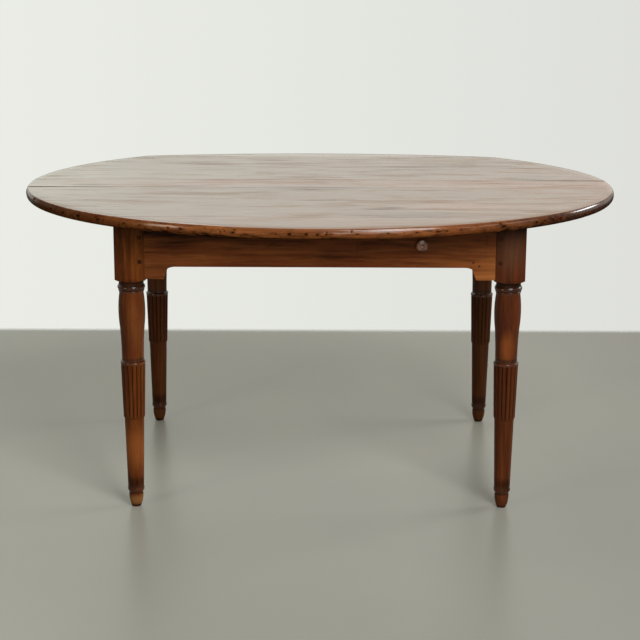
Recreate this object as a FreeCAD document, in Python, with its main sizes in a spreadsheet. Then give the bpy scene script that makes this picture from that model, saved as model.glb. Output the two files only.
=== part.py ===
# Oval tavern table: plank top, turned and reeded legs, pegged frame and one drawer.
# Millimetres, +Z up, origin on the floor under the middle of the top, +Y away from the drawer's front.
import FreeCAD, Part
import os
import re

import Sketcher
from FreeCAD import Placement, Rotation, Vector

doc = FreeCAD.newDocument("tavern_table")

# Driving sizes: name, millimetres (or degrees, or a count), what it measures
SIZES = (
    ("table_height", 740, "floor to the top's surface"),
    ("top_length", 1480, "long axis of the oval"),
    ("top_width", 1056, "short axis of the oval"),
    ("top_thickness", 27, "plank thickness"),
    ("edge_top_radius", 6, "rounding of the rim above"),
    ("edge_bottom_radius", 13, "rounding of the rim below"),
    ("outer_board_width", 130, "front and back planks, at their widest"),
    ("front_board_width", 353, "second plank from the front"),
    ("middle_board_width", 103, "narrow plank near the middle"),
    ("board_gap", 0.6, "hairline between planks"),
    ("tongue_thickness", 8, "loose tongue in a plank joint"),
    ("tongue_width", 28, "loose tongue across the joint"),
    ("tongue_inset", 60, "tongue's end to the rim"),
    ("tongue_clearance", 0.2, "tongue in its groove"),
    ("leg_spacing_x", 898, "leg centre to leg centre, long way"),
    ("leg_spacing_y", 660, "leg centre to leg centre, short way"),
    ("leg_block", 71, "square block of a leg"),
    ("block_height", 142, "underside of the top to the foot of the block"),
    ("shoulder_rise", 12, "how far the turned shoulder climbs the block's corners"),
    ("shoulder_swell", 1.2, "roundness of that shoulder"),
    ("shoulder_run_out", 3, "turned shoulder past the block's corners"),
    ("cove_diameter", 59, "hollow under the block"),
    ("cove_height", 8, "height of that hollow"),
    ("neck_ring_diameter", 66, "half-round ring under the block"),
    ("neck_ring_height", 13, "height of that ring"),
    ("neck_bead_diameter", 62.5, "fine bead under the ring"),
    ("neck_bead_height", 3, "height of that bead"),
    ("neck_diameter", 58, "vase, at its neck"),
    ("neck_drop", 30, "block to the neck"),
    ("belly_diameter", 64, "vase, at its belly"),
    ("belly_drop", 71, "block to the belly"),
    ("flank_diameter", 58.7, "vase, where the belly ends"),
    ("flank_drop", 115, "block to that place"),
    ("flank_hollow", 0.8, "hollow of the vase below the belly"),
    ("waist_diameter", 53, "vase, at its foot"),
    ("vase_drop", 199, "block to the top of the drum"),
    ("drum_height", 143, "reeded drum"),
    ("drum_top_diameter", 59, "drum, at its collar"),
    ("drum_bottom_diameter", 52, "drum, at its foot"),
    ("drum_step", 2, "sloped step from drum to vase"),
    ("drum_round", 6, "rounding at the drum's foot"),
    ("collar_height", 6, "plain collar at the drum's head"),
    ("collar_swell", 0.7, "roundness of the collar"),
    ("flute_count", 16, "grooves round a drum"),
    ("flute_radius", 3.4, "round cutter of a groove"),
    ("flute_depth", 2, "depth of a groove"),
    ("flute_stop", 6, "collar to the middle of a groove's round end"),
    ("shin_top_diameter", 47.5, "taper under the drum"),
    ("shin_diameter", 38.7, "taper above the ankle"),
    ("ankle_ring_diameter", 40.6, "ring above the foot"),
    ("ankle_ring_height", 12, "height of that ring"),
    ("ankle_gap", 6, "hollow between ring and foot"),
    ("ankle_hollow", 0.8, "depth of that hollow"),
    ("foot_diameter", 35, "foot, at its widest"),
    ("foot_height", 33, "floor to the hollow"),
    ("foot_tip_diameter", 22, "what stands on the floor"),
    ("foot_bulge", 2, "roundness of the foot"),
    ("apron_height", 101, "apron between the brackets"),
    ("apron_thickness", 25, "apron board"),
    ("apron_set_back", 2, "leg face to apron face"),
    ("bracket_drop", 30, "bracket below the apron's edge"),
    ("bracket_length", 45, "bracket along the leg's side"),
    ("bracket_slope", 20, "lean of the bracket's end, degrees"),
    ("bracket_dip", 4.5, "apron's edge falls towards the bracket"),
    ("bracket_dip_run", 17, "length of that fall"),
    ("tenon_thickness", 10, "apron tenon"),
    ("tenon_haunch", 11, "tenon shorter than the apron, above and below"),
    ("tenon_spare", 4, "wood between the two tenons in a block"),
    ("tenon_clearance", 0.15, "tenon in its mortise"),
    ("peg_diameter", 9, "peg hole through block and tenon"),
    ("peg_sides", 8, "flats round a riven peg"),
    ("peg_length", 34, "peg from the block's face"),
    ("peg_inset", 11, "peg to the joint line"),
    ("upper_peg_drop", 30, "underside of the top to the upper peg"),
    ("lower_peg_drop", 89, "underside of the top to the lower peg"),
    ("peg_clearance", 0.05, "peg in its hole"),
    ("batten_x", 510, "middle of the table to a batten"),
    ("batten_length", 500, "batten across the planks"),
    ("batten_width", 50, "batten along the table"),
    ("batten_height", 24, "batten under the top"),
    ("batten_bevel", 14, "bevel under the batten's ends"),
    ("screw_diameter", 4.5, "wood screw shank"),
    ("screw_head_diameter", 9, "countersunk head"),
    ("screw_head_height", 3, "countersunk head"),
    ("screw_bite", 8, "screw in a plank, short of the tongues"),
    ("screw_margin", 32, "screw to a batten's end or a plank's edge"),
    ("screw_clearance", 0.05, "screw in its hole"),
    ("button_length", 38, "button along the apron"),
    ("button_reach", 34, "button out from the apron"),
    ("button_height", 19, "button under the top"),
    ("button_tongue", 8, "button's tongue in the apron"),
    ("button_tongue_thickness", 6, "button's tongue"),
    ("button_clearance", 0.3, "tongue in its slot"),
    ("button_spread_long", 300, "outer buttons on a long apron, from its middle"),
    ("button_step_front", 200, "two buttons left of the drawer"),
    ("button_spread_short", 150, "buttons on a short apron, from its middle"),
    ("drawer_x", 239, "middle of the table to the middle of the drawer"),
    ("opening_width", 302, "drawer opening in the apron"),
    ("opening_height", 64, "drawer opening in the apron"),
    ("apron_strip", 13, "apron above the opening"),
    ("drawer_gap", 0.4, "drawer front in its opening"),
    ("drawer_depth", 440, "front face to back end"),
    ("drawer_front_thickness", 20, "drawer front"),
    ("drawer_side_thickness", 12, "drawer sides"),
    ("drawer_side_height", 54, "drawer sides"),
    ("drawer_back_thickness", 11, "drawer back"),
    ("drawer_back_drop", 5, "sides stand above the back"),
    ("bottom_rise", 7, "under the drawer bottom"),
    ("bottom_thickness", 7, "drawer bottom"),
    ("bottom_groove", 5, "drawer bottom in its grooves"),
    ("bottom_clearance", 0.2, "drawer bottom in its grooves"),
    ("tail_lap", 6, "wood of the drawer front before the tails"),
    ("tail_end_width", 12, "dovetail, at its end"),
    ("tail_root_width", 8.5, "dovetail, at its root"),
    ("tail_clearance", 0.1, "dovetail in its socket"),
    ("knob_diameter", 28, "turned knob"),
    ("knob_length", 26, "knob in front of the drawer"),
    ("knob_base_diameter", 18, "knob where it seats"),
    ("knob_base_height", 3, "knob where it seats"),
    ("knob_neck_diameter", 13, "knob behind its ball"),
    ("knob_ball_start", 9.4, "seat to the ball"),
    ("knob_ball_end_diameter", 17, "ball where it starts and ends"),
    ("knob_bead_diameter", 9, "bead on the knob's face"),
    ("knob_bead_height", 3, "bead on the knob's face"),
    ("knob_bead_flat", 3, "flat tip of that bead"),
    ("knob_bead_round", 0.8, "roundness of that bead"),
    ("knob_shank_diameter", 10, "knob's spigot through the drawer front"),
    ("knob_clearance", 0.05, "spigot in its hole"),
    ("running_gap", 0.3, "drawer above its runners"),
    ("guide_gap", 0.5, "drawer side to guide"),
    ("guide_thickness", 14, "guide beside the drawer"),
    ("guide_height", 34, "guide above the ledge"),
    ("ledge_lip", 6, "ledge past the drawer side"),
    ("runner_thickness", 18, "ledge under the drawer side"),
    ("stub_length", 10, "runner's stub in an apron"),
    ("stub_shoulder", 4, "runner's stub smaller than its ledge"),
    ("kicker_gap", 1, "kicker above the drawer sides"),
    ("kicker_length", 300, "kicker behind the front apron"),
    ("stop_length", 16, "stop behind the drawer"),
    ("stop_height", 14, "stop on its ledge"),
    ("stop_gap", 0.3, "drawer to its stops"),
)

# Places worked out from the sizes
PLACES = (
    ("underside", "table_height - top_thickness"),
    ("front_joint", "outer_board_width - top_width / 2"),
    ("front_middle_joint", "front_joint + front_board_width"),
    ("back_middle_joint", "front_middle_joint + middle_board_width"),
    ("back_joint", "top_width / 2 - outer_board_width"),
    ("shoulder", "underside - block_height"),
    ("corner_reach", "leg_block * sqrt(0.5) + shoulder_run_out"),
    ("ring_top", "shoulder - cove_height"),
    ("bead_top", "ring_top - neck_ring_height"),
    ("bead_bottom", "bead_top - neck_bead_height"),
    ("drum_top", "shoulder - vase_drop"),
    ("drum_bottom", "drum_top - drum_height"),
    ("reed_top", "drum_top - collar_height"),
    ("reed_bottom", "drum_bottom + drum_round"),
    ("reed_lean", "(drum_top_diameter - drum_bottom_diameter) / 2 / (reed_top - reed_bottom)"),
    ("flute_high", "reed_top - flute_stop"),
    ("flute_low", "drum_bottom - drum_step"),
    ("flute_half", "(flute_high - flute_low) / 2"),
    ("flute_middle", "(flute_high + flute_low) / 2"),
    ("ankle_bottom", "foot_height + ankle_gap"),
    ("ankle_top", "ankle_bottom + ankle_ring_height"),
    ("face_x", "leg_spacing_x / 2 + leg_block / 2 - apron_set_back"),
    ("face_y", "leg_spacing_y / 2 + leg_block / 2 - apron_set_back"),
    ("inner_y", "face_y - apron_thickness"),
    ("apron_bottom", "underside - apron_height"),
    ("bracket_foot", "apron_bottom - bracket_drop"),
    ("slope_run", "tan(bracket_slope * 1deg) * (bracket_drop - bracket_dip)"),
    ("dip_radius", "(bracket_dip_run * bracket_dip_run + bracket_dip * bracket_dip) / (2 * bracket_dip)"),
    ("dip_half_turn", "atan(bracket_dip / bracket_dip_run)"),
    ("dip_half_run", "dip_radius * sin(dip_half_turn)"),
    ("dip_half_rise", "dip_radius * (1 - cos(dip_half_turn))"),
    ("tenon_high", "underside - tenon_haunch"),
    ("tenon_low", "bracket_foot + tenon_haunch"),
    ("tenon_face", "(apron_thickness - tenon_thickness) / 2"),
    ("mortise_face", "leg_block / 2 - apron_set_back - tenon_face"),
    ("tenon_length", "leg_block / 2 + mortise_face - tenon_thickness - tenon_spare"),
    ("upper_peg", "underside - upper_peg_drop"),
    ("lower_peg", "underside - lower_peg_drop"),
    ("slot_low", "underside - button_height"),
    ("opening_high", "underside - apron_strip"),
    ("opening_low", "opening_high - opening_height"),
    ("drawer_width", "opening_width - 2 * drawer_gap"),
    ("drawer_height", "opening_height - 2 * drawer_gap"),
    ("drawer_z", "opening_low + drawer_gap"),
    ("side_inside", "drawer_width / 2 - drawer_side_thickness"),
    ("bottom_top", "bottom_rise + bottom_thickness"),
    ("back_top", "drawer_side_height - drawer_back_drop"),
    ("tail_pitch", "(back_top - bottom_top) / 2"),
    ("back_face", "drawer_depth - drawer_back_thickness"),
    ("knob_ball_end", "knob_length - knob_bead_height"),
    ("ledge_top", "drawer_z - running_gap"),
    ("ledge_low", "ledge_top - runner_thickness"),
    ("ledge_in", "side_inside - ledge_lip"),
    ("guide_in", "drawer_width / 2 + guide_gap"),
    ("guide_out", "guide_in + guide_thickness"),
    ("stub_high", "ledge_top - stub_shoulder - running_gap - drawer_gap"),
    ("kicker_low", "drawer_z + drawer_side_height + kicker_gap"),
)

QUALIFIED = {}


def bound(text):
    """Puts the sheet's name before every size or place in an expression."""
    return re.sub(r"[a-z_]+", lambda found: QUALIFIED.get(found.group(), found.group()), text)


sizes = doc.addObject("Spreadsheet::Sheet", "Sizes")
for row, (name, amount, note) in enumerate(SIZES, start=1):
    sizes.set(f"A{row}", note)
    sizes.set(f"B{row}", str(amount))
    sizes.setAlias(f"B{row}", name)
    QUALIFIED[name] = "Sizes." + name

places = doc.addObject("Spreadsheet::Sheet", "Places")
for row, (name, formula) in enumerate(PLACES, start=1):
    places.set(f"A{row}", name)
    places.set(f"B{row}", "=" + bound(formula))
    places.setAlias(f"B{row}", name)
    QUALIFIED[name] = "Places." + name
doc.recompute()


def measure(text):
    """Present value of an expression, for a sketch's first drawing."""
    return float(places.evalExpression(bound(text)))


# Sketches and features

def new_body(label):
    body = doc.addObject("PartDesign::Body", label)
    body.Label = label
    return body


def sketch_on(body, role, height="0"):
    """Empty sketch on one of the body's own planes, lifted along that plane's normal."""
    sketch = body.newObject("Sketcher::SketchObject", body.Label + "_sketch")
    plane = next(feature for feature in body.Origin.OriginFeatures if feature.Role == role)
    sketch.AttachmentSupport = [(plane, "")]
    sketch.MapMode = "FlatFace"
    sketch.setExpression("AttachmentOffset.Base.z", bound(height))
    return sketch


def hold(sketch, ties):
    """Adds a sketch's constraints in one go. A tie is a constraint's terms and what drives it."""
    rules = []
    for terms, text in ties:
        drive = () if text is None else (measure(text),)
        rules.append(Sketcher.Constraint(*terms, *drive))
    for index, (_, text) in zip(sketch.addConstraint(rules), ties):
        if text is not None:
            sketch.setExpression(f"Constraints[{index}]", bound(text))


def at(geometry, point, x, y):
    """Ties that put one point of a sketch where two expressions say."""
    return [(("DistanceX", -1, 1, geometry, point), x), (("DistanceY", -1, 1, geometry, point), y)]


def draw(sketch, corners):
    """Closed outline. A corner (x, y) is reached by a line, (via x, via y, x, y) by an arc."""
    points = [Vector(measure(corner[-2]), measure(corner[-1]), 0) for corner in corners]
    ends = []
    ties = []
    for index, corner in enumerate(corners):
        start, end = points[index - 1], points[index]
        if len(corner) == 2:
            edge = sketch.addGeometry(Part.LineSegment(start, end), False)
            ends.append((edge, 1, 2))
            continue
        via = Vector(measure(corner[0]), measure(corner[1]), 0)
        edge = sketch.addGeometry(Part.Arc(start, via, end), False)
        first = sketch.getPoint(edge, 1)
        runs_on = first.distanceToPoint(start) < first.distanceToPoint(end)
        ends.append((edge, 1, 2) if runs_on else (edge, 2, 1))
        mark = sketch.addGeometry(Part.Point(via), True)
        ties.append((("PointOnObject", mark, 1, edge), None))
        ties += at(mark, 1, corner[0], corner[1])
    for index, corner in enumerate(corners):
        edge, _, finish = ends[index]
        following, begin, _ = ends[(index + 1) % len(corners)]
        ties.append((("Coincident", edge, finish, following, begin), None))
        ties += at(edge, finish, corner[-2], corner[-1])
    hold(sketch, ties)


def draw_rectangle(sketch, left, right, low, high):
    draw(sketch, ((left, low), (right, low), (right, high), (left, high)))


def draw_circle(sketch, x, y, diameter):
    middle = Vector(measure(x), measure(y), 0)
    circle = sketch.addGeometry(Part.Circle(middle, Vector(0, 0, 1), measure(diameter) / 2), False)
    hold(sketch, at(circle, 3, x, y) + [(("Diameter", circle), diameter)])


def pad(body, sketch, length, back=False, both_ways=False):
    feature = body.newObject("PartDesign::Pad", body.Label + "_pad")
    feature.Profile = sketch
    feature.setExpression("Length", bound(length))
    feature.Reversed = back
    if both_ways:
        feature.SideType = "Symmetric"
    return feature


def pocket(body, sketch, length=None, back=False):
    """Cut against the sketch's normal, or along it if back; right through if no length is given."""
    feature = body.newObject("PartDesign::Pocket", body.Label + "_pocket")
    feature.Profile = sketch
    feature.Reversed = back
    if length is None:
        feature.Type = "ThroughAll"
    else:
        feature.setExpression("Length", bound(length))
    return feature


def turn(body, kind, sketch, axis):
    """Revolution or Groove about one of the sketch's own axes."""
    feature = body.newObject("PartDesign::" + kind, body.Label + "_" + kind.lower())
    feature.Profile = sketch
    feature.ReferenceAxis = (sketch, [axis])
    feature.Angle = 360
    return feature


def place(piece, x="0", y="0", z="0", angle=0):
    piece.Placement = Placement(Vector(0, 0, 0), Rotation(Vector(0, 0, 1), angle))
    for axis, text in zip("xyz", (x, y, z)):
        piece.setExpression("Placement.Base." + axis, bound(text))


def box(name, length, width, height, x="0", y="0", z="0"):
    piece = doc.addObject("Part::Box", name)
    for side, text in (("Length", length), ("Width", width), ("Height", height)):
        piece.setExpression(side, bound(text))
    place(piece, x, y, z)
    return piece


def combine(kind, name, base, tool):
    piece = doc.addObject("Part::" + kind, name)
    piece.Base = base
    piece.Tool = tool
    return piece


def group(name, members):
    piece = doc.addObject("Part::Compound", name)
    piece.Links = members
    return piece


nodes = []

# Sides of the frame: turn of an apron's own frame, and where its point (x, y) lies on the table.
# In that frame x runs along the apron, y in from its outer face.
SIDES = {
    "front": (0, "{x}", "{y} - face_y"),
    "right": (90, "face_x - ({y})", "{x}"),
    "back": (180, "-({x})", "face_y - ({y})"),
    "left": (270, "{y} - face_x", "-({x})"),
}


def place_on_side(piece, side, x="0", y="0", z="0"):
    angle, across, along = SIDES[side]
    place(piece, across.format(x=x, y=y), along.format(x=x, y=y), z, angle)


# Legs: block, turned shoulder, turned shaft, reeded drum, mortises and peg holes.
# In a leg's own frame its two mortised faces look along +X and +Y.
LEGS = {
    "front_left": ("-leg_spacing_x / 2", "-leg_spacing_y / 2", 0),
    "front_right": ("leg_spacing_x / 2", "-leg_spacing_y / 2", 90),
    "back_right": ("leg_spacing_x / 2", "leg_spacing_y / 2", 180),
    "back_left": ("-leg_spacing_x / 2", "leg_spacing_y / 2", 270),
}

TURNED_PROFILE = (
    ("0", "0"),
    ("foot_tip_diameter / 2", "0"),
    ("(foot_tip_diameter + foot_diameter) / 4 + foot_bulge", "foot_height / 2",
     "foot_diameter / 2", "foot_height"),
    ("foot_diameter / 2 - ankle_hollow", "foot_height + ankle_gap / 2",
     "foot_diameter / 2", "ankle_bottom"),
    ("ankle_ring_diameter / 2", "(ankle_bottom + ankle_top) / 2", "shin_diameter / 2", "ankle_top"),
    ("shin_top_diameter / 2", "drum_bottom"),
    ("shin_top_diameter / 8 + drum_bottom_diameter * 3 / 8", "drum_bottom + drum_round / 4",
     "drum_bottom_diameter / 2", "reed_bottom"),
    ("drum_top_diameter / 2", "reed_top"),
    ("drum_top_diameter / 2 + collar_swell", "reed_top + collar_height / 2",
     "drum_top_diameter / 2", "drum_top"),
    ("waist_diameter / 2", "drum_top + drum_step"),
    ("(waist_diameter + flank_diameter) / 4 - flank_hollow",
     "(drum_top + drum_step + shoulder - flank_drop) / 2",
     "flank_diameter / 2", "shoulder - flank_drop"),
    ("belly_diameter / 2", "shoulder - belly_drop", "neck_diameter / 2", "shoulder - neck_drop"),
    ("neck_bead_diameter / 2 - neck_bead_height / 2", "bead_bottom"),
    ("neck_bead_diameter / 2", "bead_bottom + neck_bead_height / 2",
     "neck_bead_diameter / 2 - neck_bead_height / 2", "bead_top"),
    ("neck_ring_diameter / 2", "bead_top + neck_ring_height / 2", "cove_diameter / 2", "ring_top"),
    ("cove_diameter / 2", "shoulder"),
    ("cove_diameter / 2", "shoulder + shoulder_rise"),
    ("0", "shoulder + shoulder_rise"),
)


def make_leg(corner):
    x, y, angle = LEGS[corner]
    leg = new_body("leg_" + corner)
    place(leg, x, y, "0", angle)

    block = sketch_on(leg, "XY_Plane", "shoulder")
    draw_rectangle(block, "-leg_block / 2", "leg_block / 2", "-leg_block / 2", "leg_block / 2")
    pad(leg, block, "block_height")

    shoulder = sketch_on(leg, "XZ_Plane")
    draw(shoulder, (
        ("(cove_diameter + corner_reach * 2) / 4", "shoulder + shoulder_rise / 2 - shoulder_swell",
         "cove_diameter / 2", "shoulder"),
        ("corner_reach", "shoulder"),
        ("corner_reach", "shoulder + shoulder_rise"),
    ))
    turn(leg, "Groove", shoulder, "V_Axis")

    shaft = sketch_on(leg, "XZ_Plane")
    draw(shaft, TURNED_PROFILE)
    turn(leg, "Revolution", shaft, "V_Axis")

    flute = sketch_on(leg, "XZ_Plane")
    flute.AttachmentOffset = Placement(Vector(0, 0, 0), Rotation(Vector(0, 0, -1), 1))
    flute.setExpression("AttachmentOffset.Base.x", bound(
        "drum_bottom_diameter / 2 + (flute_middle - reed_bottom) * reed_lean + flute_radius - flute_depth"))
    flute.setExpression("AttachmentOffset.Base.y", bound("flute_middle"))
    flute.setExpression("AttachmentOffset.Rotation.Angle", bound("atan(reed_lean)"))
    draw(flute, (
        ("0", "-flute_half"),
        ("flute_radius", "-flute_half"),
        ("flute_radius", "flute_half"),
        ("flute_radius * sin(45deg)", "flute_half + flute_radius * sin(45deg)",
         "0", "flute_half + flute_radius"),
    ))
    groove = turn(leg, "Groove", flute, "V_Axis")
    reeds = leg.newObject("PartDesign::PolarPattern", leg.Label + "_reeds")
    reeds.Originals = [groove]
    upright = next(feature for feature in leg.Origin.OriginFeatures if feature.Role == "Z_Axis")
    reeds.Axis = (upright, [""])
    reeds.Angle = 360
    reeds.setExpression("Occurrences", bound("flute_count"))
    leg.Tip = reeds

    # Mortise and peg holes for the apron on each of the two inner sides
    slack = "tenon_clearance"
    near, far = f"mortise_face + {slack}", f"mortise_face - tenon_thickness - {slack}"
    low, high = f"tenon_low - {slack}", f"tenon_high + {slack}"
    faces = (
        ("YZ_Plane", "leg_block / 2", False, "XZ_Plane", "leg_block / 2", False),
        ("XZ_Plane", "-leg_block / 2", True, "YZ_Plane", "-leg_block / 2", True),
    )
    for mortise_plane, mortise_height, mortise_back, peg_plane, peg_height, peg_back in faces:
        mortise = sketch_on(leg, mortise_plane, mortise_height)
        draw_rectangle(mortise, f"-({near})", f"-({far})", low, high)
        pocket(leg, mortise, f"tenon_length + {slack}", mortise_back)
        holes = sketch_on(leg, peg_plane, peg_height)
        for peg in ("upper_peg", "lower_peg"):
            draw_circle(holes, "leg_block / 2 - peg_inset", peg, "peg_diameter")
        pocket(leg, holes, "peg_length + peg_clearance", peg_back)
    nodes.append(leg)


def make_pegs(corner):
    """Riven pegs with flats, two from each outer face of a leg's block."""
    x, y, angle = LEGS[corner]
    pegs = []
    for lean, across, along in (
        (Rotation(Vector(1, 0, 0), -90), "leg_block / 2 - peg_inset", "-leg_block / 2"),
        (Rotation(Vector(0, 1, 0), 90), "-leg_block / 2", "leg_block / 2 - peg_inset"),
    ):
        for height in ("upper_peg", "lower_peg"):
            peg = doc.addObject("Part::Prism", "peg_" + corner)
            peg.setExpression("Polygon", bound("peg_sides"))
            peg.setExpression("Circumradius", bound("peg_diameter / 2 - peg_clearance"))
            peg.setExpression("Height", bound("peg_length"))
            peg.Placement = Placement(Vector(0, 0, 0), lean)
            for axis, text in zip("xyz", (across, along, height)):
                peg.setExpression("Placement.Base." + axis, bound(text))
            pegs.append(peg)
    bundle = group("pegs_" + corner, pegs)
    place(bundle, x, y, "0", angle)
    nodes.append(bundle)


# Aprons: board with bracket ends, a tenon at each end, slots for the buttons.
BUTTONS = {
    "front": ("-button_spread_long", "button_step_front - button_spread_long"),
    "back": ("-button_spread_long", "0", "button_spread_long"),
    "left": ("-button_spread_short", "button_spread_short"),
    "right": ("-button_spread_short", "button_spread_short"),
}
APRON_HALF = {
    "front": "(leg_spacing_x - leg_block) / 2",
    "back": "(leg_spacing_x - leg_block) / 2",
    "left": "(leg_spacing_y - leg_block) / 2",
    "right": "(leg_spacing_y - leg_block) / 2",
}
RUNNER_HAND = {"left": -1, "right": 1}


def make_apron(side):
    half = APRON_HALF[side]
    apron = new_body("apron_" + side)
    place_on_side(apron, side)

    toe = f"({half} - bracket_length)"
    knee = f"({toe} - slope_run)"
    crook = f"({knee} - bracket_dip_run)"
    bend = f"({crook} + dip_half_run)"
    board = sketch_on(apron, "XZ_Plane")
    draw(board, (
        (f"-{half}", "underside"),
        (half, "underside"),
        (half, "bracket_foot"),
        (toe, "bracket_foot"),
        (knee, "apron_bottom - bracket_dip"),
        (bend, "apron_bottom - dip_half_rise", crook, "apron_bottom"),
        ("-" + crook, "apron_bottom"),
        ("-" + bend, "apron_bottom - dip_half_rise", "-" + knee, "apron_bottom - bracket_dip"),
        ("-" + toe, "bracket_foot"),
        (f"-{half}", "bracket_foot"),
    ))
    pad(apron, board, "apron_thickness", back=True)

    tenon = sketch_on(apron, "XZ_Plane", "-tenon_face")
    tip = f"({half} + tenon_length)"
    draw_rectangle(tenon, "-" + tip, "-" + toe, "tenon_low", "tenon_high")
    draw_rectangle(tenon, toe, tip, "tenon_low", "tenon_high")
    pad(apron, tenon, "tenon_thickness", back=True)

    pegs = sketch_on(apron, "XZ_Plane")
    for height in ("upper_peg", "lower_peg"):
        for sign in ("-", ""):
            draw_circle(pegs, f"{sign}({half} + peg_inset)", height, "peg_diameter")
    pocket(apron, pegs)

    slots = sketch_on(apron, "XZ_Plane", "-apron_thickness")
    reach = "(button_length / 2 + button_clearance)"
    for middle in BUTTONS[side]:
        draw_rectangle(slots, f"{middle} - {reach}", f"{middle} + {reach}",
                       "slot_low - button_clearance",
                       "slot_low + button_tongue_thickness + button_clearance")
    pocket(apron, slots, "button_tongue + button_clearance", back=True)

    if side == "front":
        opening = sketch_on(apron, "XZ_Plane")
        draw_rectangle(opening, "drawer_x - opening_width / 2", "drawer_x + opening_width / 2",
                       "opening_low", "opening_high")
        pocket(apron, opening)
    if side in ("front", "back"):
        facing = 1 if side == "front" else -1
        stubs = sketch_on(apron, "XZ_Plane", "-apron_thickness")
        slack = "tenon_clearance"
        for hand in RUNNER_HAND.values():
            inner = f"{facing} * (drawer_x + {hand} * (ledge_in + stub_shoulder - {slack}))"
            outer = f"{facing} * (drawer_x + {hand} * (guide_out - stub_shoulder + {slack}))"
            left, right = (inner, outer) if hand * facing > 0 else (outer, inner)
            draw_rectangle(stubs, left, right, f"ledge_low + stub_shoulder - {slack}", f"stub_high + {slack}")
        pocket(apron, stubs, f"stub_length + {slack}", back=True)
    nodes.append(apron)


# Fasteners: one outline for each screw, and a slightly larger one for its hole
screws = {"batten": [], "button": []}
screw_holes = []


def make_screw(kind, x, y, grip):
    """Countersunk screw, head down, through a piece of height grip into the top."""
    for slack, made in (("0", screws[kind]), ("screw_clearance", screw_holes)):
        shank = doc.addObject("Part::Cylinder", kind + "_screw_shank")
        shank.setExpression("Radius", bound(f"screw_diameter / 2 + {slack}"))
        shank.setExpression("Height", bound(f"{grip} + screw_bite + {slack}"))
        head = doc.addObject("Part::Cone", kind + "_screw_head")
        head.setExpression("Radius1", bound(f"screw_head_diameter / 2 + {slack}"))
        head.setExpression("Radius2", bound(f"screw_diameter / 2 + {slack}"))
        head.setExpression("Height", bound("screw_head_height"))
        for piece in (shank, head):
            place(piece, x, y, f"underside - ({grip})")
        made.append(combine("Fuse", kind + "_screw", shank, head))


# Buttons: a block under the top with a tongue in the apron's slot
def make_buttons():
    made = []
    middle = "apron_thickness + button_reach / 2"
    for side, places_along in BUTTONS.items():
        for along in places_along:
            left = f"{along} - button_length / 2"
            block = box("button_block", "button_length", "button_reach", "button_height")
            place_on_side(block, side, left, "apron_thickness", "slot_low")
            tongue = box("button_tongue", "button_length", "button_tongue + button_reach / 2",
                         "button_tongue_thickness")
            place_on_side(tongue, side, left, "apron_thickness - button_tongue", "slot_low")
            made.append(combine("Fuse", "button", block, tongue))
            _, across, over = SIDES[side]
            make_screw("button", across.format(x=along, y=middle), over.format(x=along, y=middle),
                       "button_height")
    return group("button_blanks", made)


def make_batten(hand, sign):
    """Bar across the planks with bevelled ends."""
    batten = new_body(f"batten_{hand}_blank")
    place(batten, f"{sign} * batten_x")
    side = sketch_on(batten, "YZ_Plane")
    half = "batten_length / 2"
    draw(side, (
        (f"-{half}", "underside"),
        (f"-{half}", "underside - batten_height + batten_bevel"),
        (f"batten_bevel - {half}", "underside - batten_height"),
        (f"{half} - batten_bevel", "underside - batten_height"),
        (half, "underside - batten_height + batten_bevel"),
        (half, "underside"),
    ))
    pad(batten, side, "batten_width", both_ways=True)
    for along in ("screw_margin - batten_length / 2", "front_middle_joint - screw_margin",
                  "(front_middle_joint + back_middle_joint) / 2", "back_middle_joint + screw_margin",
                  "batten_length / 2 - screw_margin"):
        make_screw("batten", f"{sign} * batten_x", along, "batten_height")
    return batten


# Top: an oval slab with a rounded rim, sawn into planks and grooved for loose tongues
JOINTS = {
    "front_outer": "front_joint",
    "front_inner": "front_middle_joint",
    "back_inner": "back_middle_joint",
    "back_outer": "back_joint",
}
BOARDS = {
    "board_front_outer": ("-top_width / 2 - board_gap", "front_joint"),
    "board_front": ("front_joint", "front_middle_joint"),
    "board_middle": ("front_middle_joint", "back_middle_joint"),
    "board_back": ("back_middle_joint", "back_joint"),
    "board_back_outer": ("back_joint", "top_width / 2 + board_gap"),
}


def make_slab():
    oval = doc.addObject("Part::Ellipse", "oval")
    oval.setExpression("MajorRadius", bound("top_length / 2"))
    oval.setExpression("MinorRadius", bound("top_width / 2"))
    place(oval, z="underside")
    slab = doc.addObject("Part::Extrusion", "slab")
    slab.Base = oval
    slab.DirMode = "Normal"
    slab.setExpression("LengthFwd", bound("top_thickness"))
    slab.Solid = True
    doc.recompute()
    rim = doc.addObject("Part::Fillet", "rounded_slab")
    rim.Base = slab
    radii = []
    for number, edge in enumerate(slab.Shape.Edges, start=1):
        if edge.isClosed():
            above = edge.CenterOfMass.z > slab.Shape.CenterOfMass.z
            radius = measure("edge_top_radius" if above else "edge_bottom_radius")
            radii.append((number, radius, radius))
    rim.Edges = radii
    return rim


def make_tongue(name, joint):
    """Loose tongue, and the groove that it shares between two planks."""
    half = f"(top_length / 2 * sqrt(1 - (2 * {joint} / top_width) ^ 2) - tongue_inset)"
    tongues = []
    for slack in ("0", "tongue_clearance"):
        tongues.append(box(
            "tongue_" + name, f"2 * {half} + 2 * {slack}", f"tongue_width + 2 * {slack}",
            f"tongue_thickness + 2 * {slack}", f"-{half} - {slack}",
            f"{joint} - tongue_width / 2 - {slack}",
            f"underside + (top_thickness - tongue_thickness) / 2 - {slack}"))
    tongue, groove = tongues
    nodes.append(tongue)
    return groove


def make_top(grooves):
    slab = make_slab()
    cuts = group("board_cuts", grooves + screw_holes)
    for name, (front, back) in BOARDS.items():
        strip = box(name + "_strip", "top_length * 2", f"({back}) - ({front}) - board_gap",
                    "top_thickness * 2", "-top_length", f"{front} + board_gap / 2",
                    "underside - top_thickness / 2")
        nodes.append(combine("Cut", name, combine("Common", name + "_blank", slab, strip), cuts))


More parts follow.
